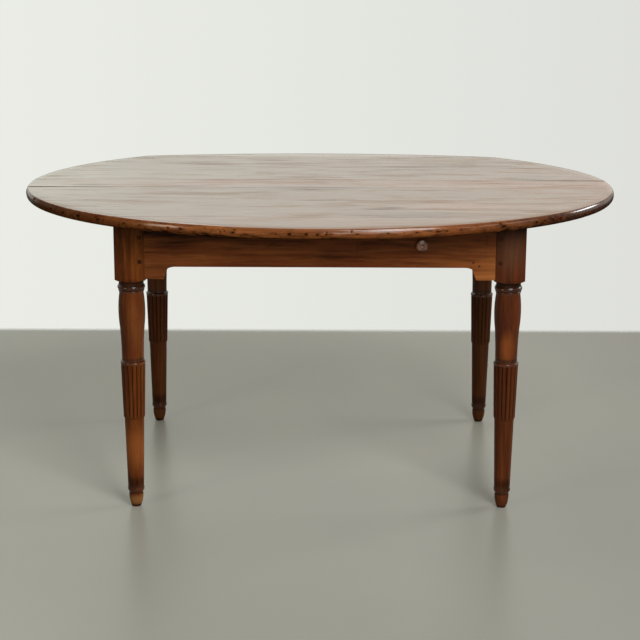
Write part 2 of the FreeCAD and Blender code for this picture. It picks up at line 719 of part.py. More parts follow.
# Drawer. Its own frame: origin at the bottom middle of its front face, +Y to its back.
def drawer_body(label):
    body = new_body(label)
    place(body, "drawer_x", "-face_y", "drawer_z")
    nodes.append(body)
    return body


def tail(root, end, number, slack):
    """Four corners of a dovetail in the side's plane, from its root to its wider end."""
    middle = f"(bottom_top + tail_pitch * ({number} + 0.5))"
    narrow, wide = f"(tail_root_width / 2 + {slack})", f"(tail_end_width / 2 + {slack})"
    return (
        (root, f"{middle} - {narrow}"),
        (end, f"{middle} - {wide}"),
        (end, f"{middle} + {wide}"),
        (root, f"{middle} + {narrow}"),
    )


def cut_sockets(body, root, end):
    """Sockets for two dovetails at both ends of a drawer front or back."""
    for height, back in (("drawer_width / 2", False), ("-drawer_width / 2", True)):
        sockets = sketch_on(body, "YZ_Plane", height)
        for number in (0, 1):
            draw(sockets, tail(root, end, number, "tail_clearance"))
        pocket(body, sockets, "drawer_side_thickness", back)


def make_drawer_front():
    front = drawer_body("drawer_front")
    face = sketch_on(front, "XZ_Plane")
    draw_rectangle(face, "-drawer_width / 2", "drawer_width / 2", "0", "drawer_height")
    pad(front, face, "drawer_front_thickness", back=True)
    cut_sockets(front, "drawer_front_thickness", "tail_lap - tail_clearance")
    groove = sketch_on(front, "XZ_Plane", "-drawer_front_thickness")
    draw_rectangle(groove, "-side_inside", "side_inside", "bottom_rise", "bottom_top")
    pocket(front, groove, "bottom_groove", back=True)
    hole = sketch_on(front, "XZ_Plane")
    draw_circle(hole, "0", "drawer_height / 2", "knob_shank_diameter + 2 * knob_clearance")
    pocket(front, hole)


def make_drawer_side(hand, outer, groove_plane, groove_back):
    side = drawer_body("drawer_side_" + hand)
    lower = tail("drawer_front_thickness", "tail_lap", 0, "0")
    upper = tail("drawer_front_thickness", "tail_lap", 1, "0")
    rear_lower = tail("back_face", "drawer_depth", 0, "0")
    rear_upper = tail("back_face", "drawer_depth", 1, "0")
    board = sketch_on(side, "YZ_Plane", outer)
    draw(board, (
        ("drawer_front_thickness", "0"), *lower, *upper, ("drawer_front_thickness", "drawer_side_height"),
        ("back_face", "drawer_side_height"), *reversed(rear_upper), *reversed(rear_lower), ("back_face", "0"),
    ))
    pad(side, board, "drawer_side_thickness")
    groove = sketch_on(side, "YZ_Plane", groove_plane)
    draw_rectangle(groove, "drawer_front_thickness", "drawer_depth", "bottom_rise", "bottom_top")
    pocket(side, groove, "bottom_groove", groove_back)


def make_drawer_back():
    back = drawer_body("drawer_back")
    face = sketch_on(back, "XZ_Plane", "-back_face")
    draw_rectangle(face, "-drawer_width / 2", "drawer_width / 2", "bottom_top", "back_top")
    pad(back, face, "drawer_back_thickness", back=True)
    cut_sockets(back, "back_face", "drawer_depth")


def make_drawer_bottom():
    bottom = drawer_body("drawer_bottom")
    panel = sketch_on(bottom, "XY_Plane", "bottom_rise + bottom_clearance")
    reach = "side_inside + bottom_groove - bottom_clearance"
    shelf = "side_inside - bottom_clearance"
    step = "drawer_front_thickness + bottom_clearance"
    draw(panel, (
        (f"-({shelf})", "drawer_front_thickness - bottom_groove + bottom_clearance"),
        (shelf, "drawer_front_thickness - bottom_groove + bottom_clearance"),
        (shelf, step),
        (reach, step),
        (reach, "drawer_depth"),
        (f"-({reach})", "drawer_depth"),
        (f"-({reach})", step),
        (f"-({shelf})", step),
    ))
    pad(bottom, panel, "bottom_thickness - bottom_clearance")


def make_knob():
    knob = drawer_body("drawer_knob")
    place(knob, "drawer_x", "-face_y", "drawer_z + drawer_height / 2")
    half = sketch_on(knob, "YZ_Plane")
    draw(half, (
        ("drawer_front_thickness", "0"),
        ("drawer_front_thickness", "knob_shank_diameter / 2"),
        ("0", "knob_shank_diameter / 2"),
        ("0", "knob_base_diameter / 2"),
        ("-knob_base_height", "knob_base_diameter / 2"),
        ("-(knob_base_height + knob_ball_start) / 2", "knob_neck_diameter / 2",
         "-knob_ball_start", "knob_ball_end_diameter / 2"),
        ("-(knob_ball_start + knob_ball_end) / 2", "knob_diameter / 2",
         "-knob_ball_end", "knob_ball_end_diameter / 2"),
        ("-knob_ball_end", "knob_bead_diameter / 2"),
        ("-(knob_ball_end + knob_length) / 2", "(knob_bead_diameter + knob_bead_flat) / 4 + knob_bead_round",
         "-knob_length", "knob_bead_flat / 2"),
        ("-knob_length", "0"),
    ))
    turn(knob, "Revolution", half, "H_Axis")


# Drawer's carriage: runner with guide, kicker and stop on each hand
def make_runner(hand, sign):
    runner = new_body("drawer_runner_" + hand)
    place(runner, "drawer_x")
    section = sketch_on(runner, "XZ_Plane")
    draw(section, (
        (f"{sign} * ledge_in", "ledge_low"),
        (f"{sign} * guide_out", "ledge_low"),
        (f"{sign} * guide_out", "ledge_top + guide_height"),
        (f"{sign} * guide_in", "ledge_top + guide_height"),
        (f"{sign} * guide_in", "ledge_top"),
        (f"{sign} * ledge_in", "ledge_top"),
    ))
    pad(runner, section, "2 * inner_y", both_ways=True)
    stub = sketch_on(runner, "XZ_Plane")
    draw_rectangle(stub, f"{sign} * (ledge_in + stub_shoulder)", f"{sign} * (guide_out - stub_shoulder)",
                   "ledge_low + stub_shoulder", "stub_high")
    pad(runner, stub, "2 * (inner_y + stub_length)", both_ways=True)
    nodes.append(runner)


def make_kicker(hand, sign):
    low = "side_inside" if sign > 0 else "-drawer_width / 2"
    nodes.append(box("drawer_kicker_" + hand, "drawer_side_thickness", "kicker_length",
                     "underside - kicker_low", f"drawer_x + {low}", "-inner_y", "kicker_low"))


def make_stops():
    stops = []
    for low in ("side_inside", "-drawer_width / 2"):
        stops.append(box("drawer_stop", "drawer_side_thickness", "stop_length", "stop_height",
                         f"drawer_x + {low}", "drawer_depth - face_y + stop_gap", "ledge_top"))
    nodes.append(group("drawer_stops", stops))


# Assembly
for corner in LEGS:
    make_leg(corner)
    make_pegs(corner)
for side in SIDES:
    make_apron(side)

button_blanks = make_buttons()
batten_blanks = {"left": make_batten("left", -1), "right": make_batten("right", 1)}
hole_tools = group("screw_holes", screw_holes)
nodes.append(combine("Cut", "top_buttons", button_blanks, hole_tools))
for hand, blank in batten_blanks.items():
    nodes.append(combine("Cut", "batten_" + hand, blank, hole_tools))
nodes.append(group("button_screws", screws["button"]))
nodes.append(group("batten_screws", screws["batten"]))
make_top([make_tongue(name, joint) for name, joint in JOINTS.items()])

make_drawer_front()
make_drawer_side("left", "-drawer_width / 2", "-side_inside", False)
make_drawer_side("right", "side_inside", "side_inside", True)
make_drawer_back()
make_drawer_bottom()
make_knob()
for hand, sign in RUNNER_HAND.items():
    make_runner(hand, sign)
    make_kicker(hand, sign)
make_stops()

doc.recompute()
for feature in doc.Objects:
    if {"Invalid", "Error"} & set(feature.State):
        raise RuntimeError(f"{feature.Label} did not build: {feature.State}")
for node in nodes:
    if node.Shape.isNull() or not node.Shape.isValid():
        raise RuntimeError(f"{node.Label} has no sound shape")

os.makedirs("parts", exist_ok=True)
for node in nodes:
    node.Shape.exportStep(f"parts/{node.Label}.step")
    print(node.Label, len(node.Shape.Solids), "solids", round(node.Shape.Volume / 1000, 1), "cm3")
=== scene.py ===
# %% [markdown]
# An oval tavern table of waxed fruitwood: five planks on a pegged frame, four turned legs and one drawer.
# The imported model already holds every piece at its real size. This script loads it as a fixed frame and
# dresses it: pieces that age has softened are modelled again in their own place, and the rest keep their
# shape and get a finish. Blender counts in metres, and a size given in millimetres is multiplied by MM.

# %% The frame
import math

import bmesh
import bpy
import numpy as np
from mathutils import Matrix, Vector, noise


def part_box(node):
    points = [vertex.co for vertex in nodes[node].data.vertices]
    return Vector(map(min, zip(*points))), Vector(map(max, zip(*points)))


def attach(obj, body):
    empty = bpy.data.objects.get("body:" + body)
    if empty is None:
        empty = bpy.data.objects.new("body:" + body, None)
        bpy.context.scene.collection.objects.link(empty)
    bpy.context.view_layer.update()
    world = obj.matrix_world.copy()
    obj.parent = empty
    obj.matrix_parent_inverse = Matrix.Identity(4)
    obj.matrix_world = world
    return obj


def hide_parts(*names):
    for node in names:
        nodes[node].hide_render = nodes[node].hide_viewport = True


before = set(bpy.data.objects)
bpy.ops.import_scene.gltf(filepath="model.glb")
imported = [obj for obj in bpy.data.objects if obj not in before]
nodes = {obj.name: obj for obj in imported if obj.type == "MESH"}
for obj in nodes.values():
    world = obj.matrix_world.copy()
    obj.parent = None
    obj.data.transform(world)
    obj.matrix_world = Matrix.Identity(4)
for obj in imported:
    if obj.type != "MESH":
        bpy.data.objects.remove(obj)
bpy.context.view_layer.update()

MM = 0.001

# %% [markdown]
# Three small helpers serve the whole lesson. Colours are judged on a screen, so they are written as sRGB hex
# values, while a shader adds light in linear values: one function turns the first into the second. A shader
# tree is a list of nodes with settings and links, so one function adds a node with both, and the trees below
# read like a recipe. The third starts an empty material.

# %% Helpers for colour and nodes
def linear(code):
    """sRGB hex colour as linear red, green, blue and a full alpha."""
    channels = [int(code[i:i + 2], 16) / 255 for i in (1, 3, 5)]
    return [c / 12.92 if c <= 0.04045 else ((c + 0.055) / 1.055) ** 2.4 for c in channels] + [1.0]


def add(tree, kind, inputs=None, **settings):
    """Adds a node. An input is a value, or another node's output to link."""
    made = tree.nodes.new("ShaderNode" + kind)
    for name, value in settings.items():
        setattr(made, name, value)
    for socket, value in (inputs or {}).items():
        if isinstance(value, bpy.types.NodeSocket):
            tree.links.new(value, made.inputs[socket])
        else:
            made.inputs[socket].default_value = value
    return made


def new_material(name):
    """An empty material and its tree."""
    material = bpy.data.materials.new(name)
    material.use_nodes = True
    material.node_tree.nodes.clear()
    return material, material.node_tree


print("helpers: linear, add, new_material; white is", linear("#ffffff"))

# %% [markdown]
# The camera comes first, because it decides how large a detail has to be to show. It stands in front of the
# table at the eye height of someone standing, with a long lens. Its place was found by fitting the feet, the
# leg rings and the oval's rim to the photograph, so it is written as that fit gave it.

# %% Camera
IMAGE_WIDTH = 640
FOCAL_PIXELS = 1780
SENSOR_MM = 36
CAMERA_PLACE = Vector((-5.5, -4437, 1607)) * MM
CAMERA_PITCH = 0.2691
CAMERA_YAW = -0.0015
CAMERA_ROLL = 0.0043

scene = bpy.context.scene
scene.view_settings.view_transform = "Standard"
camera_data = bpy.data.cameras.new("camera")
camera_data.sensor_width = SENSOR_MM
camera_data.lens = FOCAL_PIXELS * SENSOR_MM / IMAGE_WIDTH
camera = bpy.data.objects.new("camera", camera_data)
scene.collection.objects.link(camera)
upright = Matrix.Rotation(CAMERA_YAW, 4, "Z") @ Matrix.Rotation(math.pi / 2 - CAMERA_PITCH, 4, "X")
camera.matrix_world = Matrix.Translation(CAMERA_PLACE) @ upright @ Matrix.Rotation(CAMERA_ROLL, 4, "Z")
scene.camera = camera
print("camera:", round(camera_data.lens, 1), "mm lens")

# %% [markdown]
# The wood is a fruitwood, cherry by its red-brown colour and its fine straight grain. Planed wood shows
# growth bands that run with the board, finer fibres between them, and short dark pores. A painted picture of
# grain would have to be unwrapped for every piece. Noise that is stretched along the grain fills all space
# instead, so it runs through a board and round its edges as real grain does. A second, wide noise bends the
# streaks, because no tree grows quite straight.

# %% Grain
GRAIN_AXIS = {"X": (1, 0, 0), "Y": (0, 1, 0), "Z": (0, 0, 1)}
GRAIN_TURN = {"X": (0, 0, 0), "Y": (0, 0, -math.pi / 2), "Z": (0, math.pi / 2, 0)}
# Length, width and detail of each streak. Cherry's bands are about 3 mm wide, its fibres and pores a
# fraction of that, too fine to show from here, so these three are drawn coarser than they are. Smudges,
# patches and clouds have their real size.
STREAKS = {
    "band": (420 * MM, 9 * MM, 7.0),
    "fibre": (85 * MM, 2.2 * MM, 3.0),
    "pore": (45 * MM, 2.4 * MM, 2.0),
    "smudge": (110 * MM, 8 * MM, 5.0),
    "patch": (380 * MM, 80 * MM, 4.0),
    "cloud": (230 * MM, 18 * MM, 4.0),
}
STREAK_ROUGHNESS = 0.68
WANDER_SIZE, WANDER_REACH = 340 * MM, 16 * MM
SEED_SHIFT = (1.7, 0.43, 0.29)


def grain_streaks(tree, place, along, seed):
    """The noise that bends the grain, and each kind of streak as a value from 0 to 1."""
    grain = add(tree, "Mapping", {"Vector": place, "Rotation": GRAIN_TURN[along],
                                  "Location": [seed * shift for shift in SEED_SHIFT]}).outputs["Vector"]
    wander = add(tree, "TexNoise", {"Vector": grain, "Scale": 1 / WANDER_SIZE, "Detail": 2.0})
    wander = wander.outputs["Color"]
    bent = add(tree, "VectorMath", {0: wander, 1: (0, WANDER_REACH, WANDER_REACH), 2: grain},
               operation="MULTIPLY_ADD").outputs["Vector"]
    streak = {}
    for layer, (length, width, detail) in STREAKS.items():
        scaled = add(tree, "Mapping", {"Vector": bent, "Scale": (1 / length, 1 / width, 1 / width)})
        streak[layer] = add(tree, "TexNoise", {"Vector": scaled.outputs["Vector"], "Scale": 1.0,
                                               "Detail": detail, "Roughness": STREAK_ROUGHNESS})
        streak[layer] = streak[layer].outputs["Fac"]
    return wander, streak


print("grain:", len(STREAKS), "kinds of streak")

# %% [markdown]
# Colour lies on the wood in layers, and the shader mixes them in the same order. Each layer is a share from
# 0 to 1 and a colour. One colour ramp could hold them all, but a layer can be made stronger or weaker by
# itself. First come those of the wood: a redder blush in patches, pores, smudges of old polish, end grain,
# which drinks in more dirt, and the paler face that scrubbing leaves on top.

# %% Layers of the wood itself
PORE_COLOUR, END_COLOUR, BLEACHED_COLOUR = "#1d0f08", "#2c160c", "#9d8767"


def wood_layers(tree, streak, facing_end, facing_up, red, figure, bleach):
    """Shares and colours over the plain wood. Each share grows from a start to its most at full."""
    covers = (
        (streak["patch"], 0.42, 0.72, 1.0, red),
        (streak["pore"], 0.60, 0.74, 0.5 * figure, PORE_COLOUR),
        (streak["smudge"], 0.52, 0.72, 0.6 * figure, PORE_COLOUR),
        (facing_end, 0.3, 0.9, 0.8, END_COLOUR),
        (facing_up, 0.9, 0.99, bleach, BLEACHED_COLOUR),
    )
    layers = []
    for value, start, full, most, tint in covers:
        cover = add(tree, "MapRange", {"Value": value, "From Min": start, "From Max": full, "To Max": most})
        layers.append((cover.outputs["Result"], tint))
    return layers


print("wood layers: blush, pores, smudges, end grain and scrubbing")

# %% [markdown]
# Other marks have a place of their own: a stain, a rubbed foot, and also painted shade under the top and
# painted highlights. Such a mark is an egg-shaped cloud, given by its centre, its reach along the three axes,
# both in millimetres, its amount and its colour. It could be painted by hand, but then nobody could change it
# by a number. Smudges break it up and the bent grain makes its edge waver, so it looks soaked in. A stain
# also spoils the wax over it.

# %% Marks with a place
STAIN_COLOUR = "#2a1a12"
EVERYWHERE = 9e4
MARK_EDGE, MARK_HEART = 1.0, 0.2


def mark_layers(tree, place, wander, smudge, figure, marks, dirt):
    """Shares and colours of the marks, and how far stains and dirt have spoilt the wax."""
    wavy = add(tree, "VectorMath", {0: wander, 1: (WANDER_REACH,) * 3, 2: place},
               operation="MULTIPLY_ADD").outputs["Vector"]
    broken = add(tree, "MapRange", {"Value": smudge, "From Min": 0.38, "From Max": 0.62,
                                    "To Min": 1 - 0.45 * figure, "To Max": 1 + 0.25 * figure})
    broken = broken.outputs["Result"]
    layers, spoilt = [], dirt
    for centre, reach, amount, tint in marks:
        middle = [c * MM + WANDER_REACH / 2 for c in centre]
        offset = add(tree, "VectorMath", {0: wavy, 1: middle}, operation="SUBTRACT").outputs["Vector"]
        spread = add(tree, "VectorMath", {0: offset, 1: [r * MM for r in reach]}, operation="DIVIDE")
        far = add(tree, "VectorMath", {0: spread.outputs["Vector"]}, operation="LENGTH").outputs["Value"]
        near = add(tree, "MapRange", {"Value": far, "From Min": MARK_EDGE, "From Max": MARK_HEART,
                                      "To Max": amount}, interpolation_type="SMOOTHSTEP").outputs["Result"]
        share = add(tree, "Math", {0: near, 1: broken}, operation="MULTIPLY", use_clamp=True).outputs["Value"]
        layers.append((share, tint))
        if tint == STAIN_COLOUR:
            spoilt = add(tree, "Math", {0: spoilt, 1: share}, operation="MAXIMUM").outputs["Value"]
    return layers, spoilt


print("marks: soft from", MARK_EDGE, "to", MARK_HEART, "of their reach")

# %% [markdown]
# Wax is a thin clear coat, and the shader has one: a second gloss over the wood. A lower roughness would
# shine too, but then the wood could not stay matt under its wax. The coat's weight says how much wax is left.
# A cloth leaves more in some streaks than in others and never reaches an underside, hands polish the edges
# they hold, and dirt or a stain takes the gloss away. The meshes below carry two values at every point for
# this: dirt, and rub, which is the polish of hands.

# %% Coat of wax
PATCH_PART = 0.8


def wax_coat(tree, streak, facing_up, wax, spoilt):
    """Weight of the coat, between the least and the most wax."""
    worn = add(tree, "Math", {0: streak["cloud"], 1: streak["smudge"]}, operation="ADD").outputs["Value"]
    worn = add(tree, "Math", {0: streak["patch"], 1: PATCH_PART, 2: worn}, operation="MULTIPLY_ADD")
    polish = add(tree, "MapRange", {"Value": worn.outputs["Value"], "From Min": 1.10, "From Max": 1.45,
                                    "To Min": wax[0], "To Max": wax[1]}).outputs["Result"]
    reached = add(tree, "MapRange", {"Value": facing_up, "From Min": -0.6, "From Max": -0.2})
    wiped = add(tree, "Math", {0: polish, 1: reached.outputs["Result"]}, operation="MULTIPLY")
    touched = add(tree, "Attribute", attribute_name="rub")
    shiny = add(tree, "Math", {0: wiped.outputs["Value"], 1: touched.outputs["Fac"]}, operation="MAXIMUM")
    return add(tree, "Mix", {0: spoilt, 2: shiny.outputs["Value"], 3: 0.0}).outputs[0]


print("wax: patches count", PATCH_PART, "times as much as clouds and smudges")

# %% [markdown]
# One function puts the finish together, because the wooden pieces differ only in tones, gloss and marks. Wax
# and wood are dielectrics of IOR 1.5, whose gloss grows at a low angle, which is why the top looks pale in
# the photograph while the frame below it looks dark. Old wood under wax is nearly matt by itself, so its own
# specular level is low and the coat carries the shine.

# %% Waxed wood
DIRT_COLOUR, DIRT_ROUGHNESS = "#120a06", 0.85
WAX_ROUGHNESS = 0.15
GRAIN_DEPTH = 0.25 * MM


def waxed_wood(name, along, seed, tones, roughness, wax=(0.0, 0.0), figure=0.5, relief=0.25, marks=(),
               bleach=0.0, level=0.06):
    """Waxed wood with its grain along one axis. The seed moves the pattern, so that no two boards match."""
    light, dark, red = tones
    material, tree = new_material(name)
    coordinates = add(tree, "TexCoord").outputs
    place, normal = coordinates["Object"], coordinates["Normal"]
    wander, streak = grain_streaks(tree, place, along, seed)
    # Plain wood: bands and fibres, from the dark tone to the light one
    band = add(tree, "MapRange", {"Value": streak["band"], "From Min": 0.30, "From Max": 0.70})
    tone = add(tree, "Math", {0: streak["fibre"], 1: 0.5, 2: band.outputs["Result"]},
               operation="MULTIPLY_ADD").outputs["Value"]
    shade = add(tree, "MapRange", {"Value": tone, "From Min": 0.15, "From Max": 1.35}).outputs["Result"]
    colour = add(tree, "Mix", {0: shade, 6: linear(dark), 7: linear(light)}, data_type="RGBA").outputs[2]
    # What lies over it, with dirt last
    lengthwise = add(tree, "VectorMath", {0: normal, 1: GRAIN_AXIS[along]}, operation="DOT_PRODUCT")
    facing_end = add(tree, "Math", {0: lengthwise.outputs["Value"]}, operation="ABSOLUTE").outputs["Value"]
    facing_up = add(tree, "SeparateXYZ", {"Vector": normal}).outputs["Z"]
    dirt = add(tree, "Attribute", attribute_name="dirt").outputs["Fac"]
    layers = wood_layers(tree, streak, facing_end, facing_up, red, figure, bleach)
    placed, spoilt = mark_layers(tree, place, wander, streak["smudge"], figure, marks, dirt)
    for share, tint in layers + placed + [(dirt, DIRT_COLOUR)]:
        colour = add(tree, "Mix", {0: share, 6: colour, 7: linear(tint)}, data_type="RGBA").outputs[2]
    # Gloss, wax and the relief of the grain
    gloss = add(tree, "MapRange", {"Value": streak["patch"], "From Min": 0.3, "From Max": 0.7,
                                   "To Min": roughness - 0.07, "To Max": roughness + 0.08}).outputs["Result"]
    matt = add(tree, "Mix", {0: dirt, 2: gloss, 3: DIRT_ROUGHNESS}).outputs[0]
    coat = wax_coat(tree, streak, facing_up, wax, spoilt)
    bump = add(tree, "Bump", {"Height": tone, "Strength": relief, "Distance": GRAIN_DEPTH})
    shader = add(tree, "BsdfPrincipled", {"Base Color": colour, "IOR": 1.5, "Roughness": matt,
                                          "Specular IOR Level": level, "Coat Weight": coat,
                                          "Coat Roughness": WAX_ROUGHNESS, "Normal": bump.outputs["Normal"]})
    add(tree, "OutputMaterial", {"Surface": shader.outputs["BSDF"]})
    return material


print("waxed wood: one function for every wooden piece")

# %% [markdown]
# The top's planks were cut from several boards, so each has tones of its own: a light one, a dark one and a
# redder one. The middle plank is the warmest and the far one the palest. They share their stains, because
# what was spilt ran over the joints: three dark stains, smoky places, a warm place and a bleached left end.

# %% Finish of the top
PLANKS = {
    "board_front_outer": ("#a8622d", "#653615", "#793d1b"),
    "board_front": ("#a06536", "#623d1e", "#794425"),
    "board_middle": ("#b5652c", "#763c17", "#8e451c"),
    "board_back": ("#a26636", "#643e1f", "#7a4524"),
    "board_back_outer": ("#cba078", "#8f6b48", "#a67858"),
}
SMOKE_COLOUR, PALE_COLOUR, AMBER_COLOUR = "#4a2d1a", "#b9ab8c", "#b06a30"
TOP_HEIGHT, STAIN_DEPTH = 740, 90
# Place along the table and across it, length, width, amount and colour
SPILLS = (
    (140, -303, 70, 14, 0.6, STAIN_COLOUR), (175, -287, 45, 8, 0.6, STAIN_COLOUR),
    (-590, -12, 80, 14, 0.6, STAIN_COLOUR), (545, 85, 90, 34, 0.7, SMOKE_COLOUR),
    (-60, -50, 320, 55, 0.5, SMOKE_COLOUR), (190, -360, 220, 60, 0.5, SMOKE_COLOUR),
    (330, 240, 260, 60, 0.4, SMOKE_COLOUR), (340, -262, 170, 70, 0.3, AMBER_COLOUR),
    (-700, 60, 330, 420, 0.5, PALE_COLOUR),
)
TOP_STAINS = tuple(((x, y, TOP_HEIGHT), (length, width, STAIN_DEPTH), amount, tint)
                   for x, y, length, width, amount, tint in SPILLS)
# Painted shade on the lower round of the rim, which the light from above does not reach.
RIM_UNDERSIDE_SHADE = ((0, 0, 708), (EVERYWHERE, EVERYWHERE, 22), 0.85, "#170b05")
# Scrubbed and waxed cherry gives a matt red-brown from above, and a pale streaky sheen at a low angle.
top_woods = {}
for number, (board, tones) in enumerate(PLANKS.items()):
    top_woods[board] = waxed_wood(f"waxed_cherry_{board}", "X", 3.1 * number, tones, roughness=0.34,
                                  wax=(0.1, 1.0), figure=1.0, relief=0.1, marks=(RIM_UNDERSIDE_SHADE,) + TOP_STAINS,
                                  bleach=0.36, level=0.15)
print("top:", len(top_woods), "planks with", len(SPILLS), "spills")

# %% [markdown]
# The rim is the same cherry, but it was never scrubbed: hands and chairs wear it. One finish runs round all
# five planks, because the wear takes no notice of their joints, and both ends are browner than the front.

# %% Finish of the rim
RIM_TONES = ("#a66436", "#62371c", "#763c20")
RIM_ENDS = (
    ((-740, 0, 725), (400, EVERYWHERE, EVERYWHERE), 0.3, "#402d14"),
    ((740, 0, 725), (430, EVERYWHERE, EVERYWHERE), 0.65, "#2b1b16"),
)
# Worn cherry gives a warm dull edge, on which only the places that hands polish catch the light.
# Its underside is darkened by painted shade.
rim_wood = waxed_wood("worn_cherry_edge", "X", 5.3, RIM_TONES, roughness=0.4, figure=1.5,
                      marks=(RIM_UNDERSIDE_SHADE,) + RIM_ENDS, level=0.0)
print("rim:", rim_wood.name)

# %% [markdown]
# Each leg was turned from its own square, so each has its own tones, and the front left one is the lightest.
# The back ones' tones are painted darker, as painted shade. Painted shade also darkens them toward the top,
# under the table top, and down their left sides, where darker heartwood also shows. Grime fills every hollow
# that a cloth slides over, and painted shade darkens the ring under the block. The two front ones have a
# paler foot and shin, a greyed block with a painted sheen over it, and painted highlights down two vases.

# %% Finish of the legs
HOLE_AND_SHADE_COLOUR, GRIME_AND_SHADE_COLOUR = "#0c0603", "#1d0f07"
# Painted shade under the table top: legs and aprons are painted darker the nearer they are to it.
SHADE_UNDER_TOP = ((0, 0, 745), (EVERYWHERE, EVERYWHERE, 150), 0.72, HOLE_AND_SHADE_COLOUR)
LEG_TONES = {
    "front_left": ("#955623", "#4f260e", "#5c260f"),
    "front_right": ("#723b1d", "#391c0d", "#582511"),
    # The two back legs' darker tones are painted shade: they stand behind, out of the light.
    "back_left": ("#6b3c1c", "#3d1f0e", "#4a210f"),
    "back_right": ("#5f351b", "#38200f", "#471f10"),
}
# Height and reach in millimetres and amount of each band: painted shade round the ring, then grime
HOLLOWS_AND_SHADE = ((560, 15, 0.75), (378, 8, 0.6), (60, 26, 0.7), (2, 7, 0.8))
LEG_GRIME_AND_SHADE = tuple(((0, 0, height), (EVERYWHERE, EVERYWHERE, reach), amount, GRIME_AND_SHADE_COLOUR)
                  for height, reach, amount in HOLLOWS_AND_SHADE)
# A paler foot and shin, a greyed block with a painted sheen over it, and painted highlights down both vases.
LEG_WEAR_AND_SHEEN = (
    ((-449, -330, 18), (60, 60, 20), 0.3, "#c8985c"),
    ((-449, -330, 150), (60, 60, 85), 0.35, "#c2733c"),
    ((449, -330, 650), (70, 60, 95), 0.4, "#86664f"),
    ((449, -360, 412), (26, 40, 55), 0.35, "#b5642c"),
    ((-440, -360, 470), (26, 40, 90), 0.12, "#b87436"),
)
# Darker heartwood on each leg's left side, with painted shade over it where the light from the right falls
# off.
HEART_AND_SHADE_REACH, HEART_AND_SHADE_COLOUR = 46, "#341809"
HEART_AND_SHADE_AMOUNT = {"left": 0.7, "right": 0.4}
# Waxed turned cherry gives a soft shine on the swells, and hollows that are nearly black.
leg_woods = {}
for number, (corner, tones) in enumerate(LEG_TONES.items()):
    low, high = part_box("leg_" + corner)
    amount = HEART_AND_SHADE_AMOUNT[corner.split("_")[1]]
    heart_and_shade = ((low.x / MM, 0, 0), (HEART_AND_SHADE_REACH, EVERYWHERE, EVERYWHERE), amount, HEART_AND_SHADE_COLOUR)
    leg_woods[corner] = waxed_wood(f"waxed_cherry_leg_{corner}", "Z", 20.3 + number, tones, roughness=0.34,
                                   figure=0.8, marks=(SHADE_UNDER_TOP, heart_and_shade) + LEG_WEAR_AND_SHEEN + LEG_GRIME_AND_SHADE)
print("legs:", ", ".join(leg_woods))

# %% [markdown]
# The aprons and the drawer front were planed from one board, so one finish serves them, turned for the two
# aprons that run front to back. The front apron has painted shade under the top at its left and painted light
# under the top at its right, paler sapwood with painted light over it in its right bracket, two nail holes
# beside that, a few old stains and a darker left bracket.

# %% Finish of the aprons
APRON_TONES = ("#aa6433", "#5d2f18", "#71351a")
APRON_FACE = -363
# Paler sapwood in the right bracket, with painted light from the right over it.
SAPWOOD_AND_LIGHT = ((420, APRON_FACE, 600), (75, 60, 66), 0.14, "#cf8a4c")
NAIL_HOLES = tuple(((x, APRON_FACE, z), (4, 9, 4), 1.0, HOLE_AND_SHADE_COLOUR) for x, z in ((360, 626), (374, 618)))
# Two stains, painted shade high on the left, painted light high on the right, a darker left bracket.
APRON_STAINS_AND_SHADING = (
    ((-330, APRON_FACE, 672), (80, 40, 26), 0.45, GRIME_AND_SHADE_COLOUR),
    ((25, APRON_FACE, 640), (55, 40, 12), 0.4, GRIME_AND_SHADE_COLOUR),
    ((-250, APRON_FACE, 712), (320, 40, 50), 1.0, HOLE_AND_SHADE_COLOUR),
    ((-370, APRON_FACE, 712), (180, 40, 40), 0.8, HOLE_AND_SHADE_COLOUR),
    ((310, APRON_FACE, 700), (110, 40, 34), 0.14, "#a5652f"),
    ((-400, APRON_FACE, 598), (90, 60, 60), 0.3, GRIME_AND_SHADE_COLOUR),
)
# Waxed planed cherry gives a smooth red-brown face with long streaks, and painted shade darker near the top.
apron_woods = {}
for along in "XY":
    apron_woods[along] = waxed_wood(f"waxed_cherry_apron_{along.lower()}", along, 30.7, APRON_TONES,
                                    roughness=0.38, figure=0.85,
                                    marks=(SHADE_UNDER_TOP, SAPWOOD_AND_LIGHT) + NAIL_HOLES + APRON_STAINS_AND_SHADING)
print("aprons:", len(apron_woods), "directions of grain")

# %% [markdown]
# Inside and underneath nothing was waxed. Battens, buttons, runners and the drawer's sides are bare wood that
# time has turned grey-brown. The loose tongues show only as a dark line in an open joint. The pegs are split
# oak, and the knob is turned plum, worn pale in the middle of its face, with a painted highlight on top and
# painted shade underneath. The same function makes them all, with other tones and little or no wax, so they
# look like kin of the outside.

# %% Bare wood, joints, pegs and knob
BARE_TONES = ("#a98a63", "#7c6041", "#8d6a45")
DUSTY_TONES = ("#33241a", "#1c130d", "#261a12")
PEG_TONES = ("#623c22", "#382112", "#4a2a15")
KNOB_TONES = ("#c8937c", "#573a33", "#96655a")
# Bare planed wood is pale, dry and quite matt.
bare_woods = {along: waxed_wood(f"bare_wood_{along.lower()}", along, 41.9, BARE_TONES, roughness=0.75)
              for along in "XY"}
# Dust in a joint swallows the light, so the crack above it looks black.
dusty_wood = waxed_wood("dusty_joint_wood", "X", 45.2, DUSTY_TONES, roughness=0.9)
# Split oak stays rough, so a peg is a dark matt dot in the shiny block.
peg_wood = waxed_wood("dark_oak_peg", "Y", 50.1, PEG_TONES, roughness=0.6)
knob_x, knob_y, knob_z = [(low + high) / 2 / MM for low, high in zip(*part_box("drawer_knob"))]
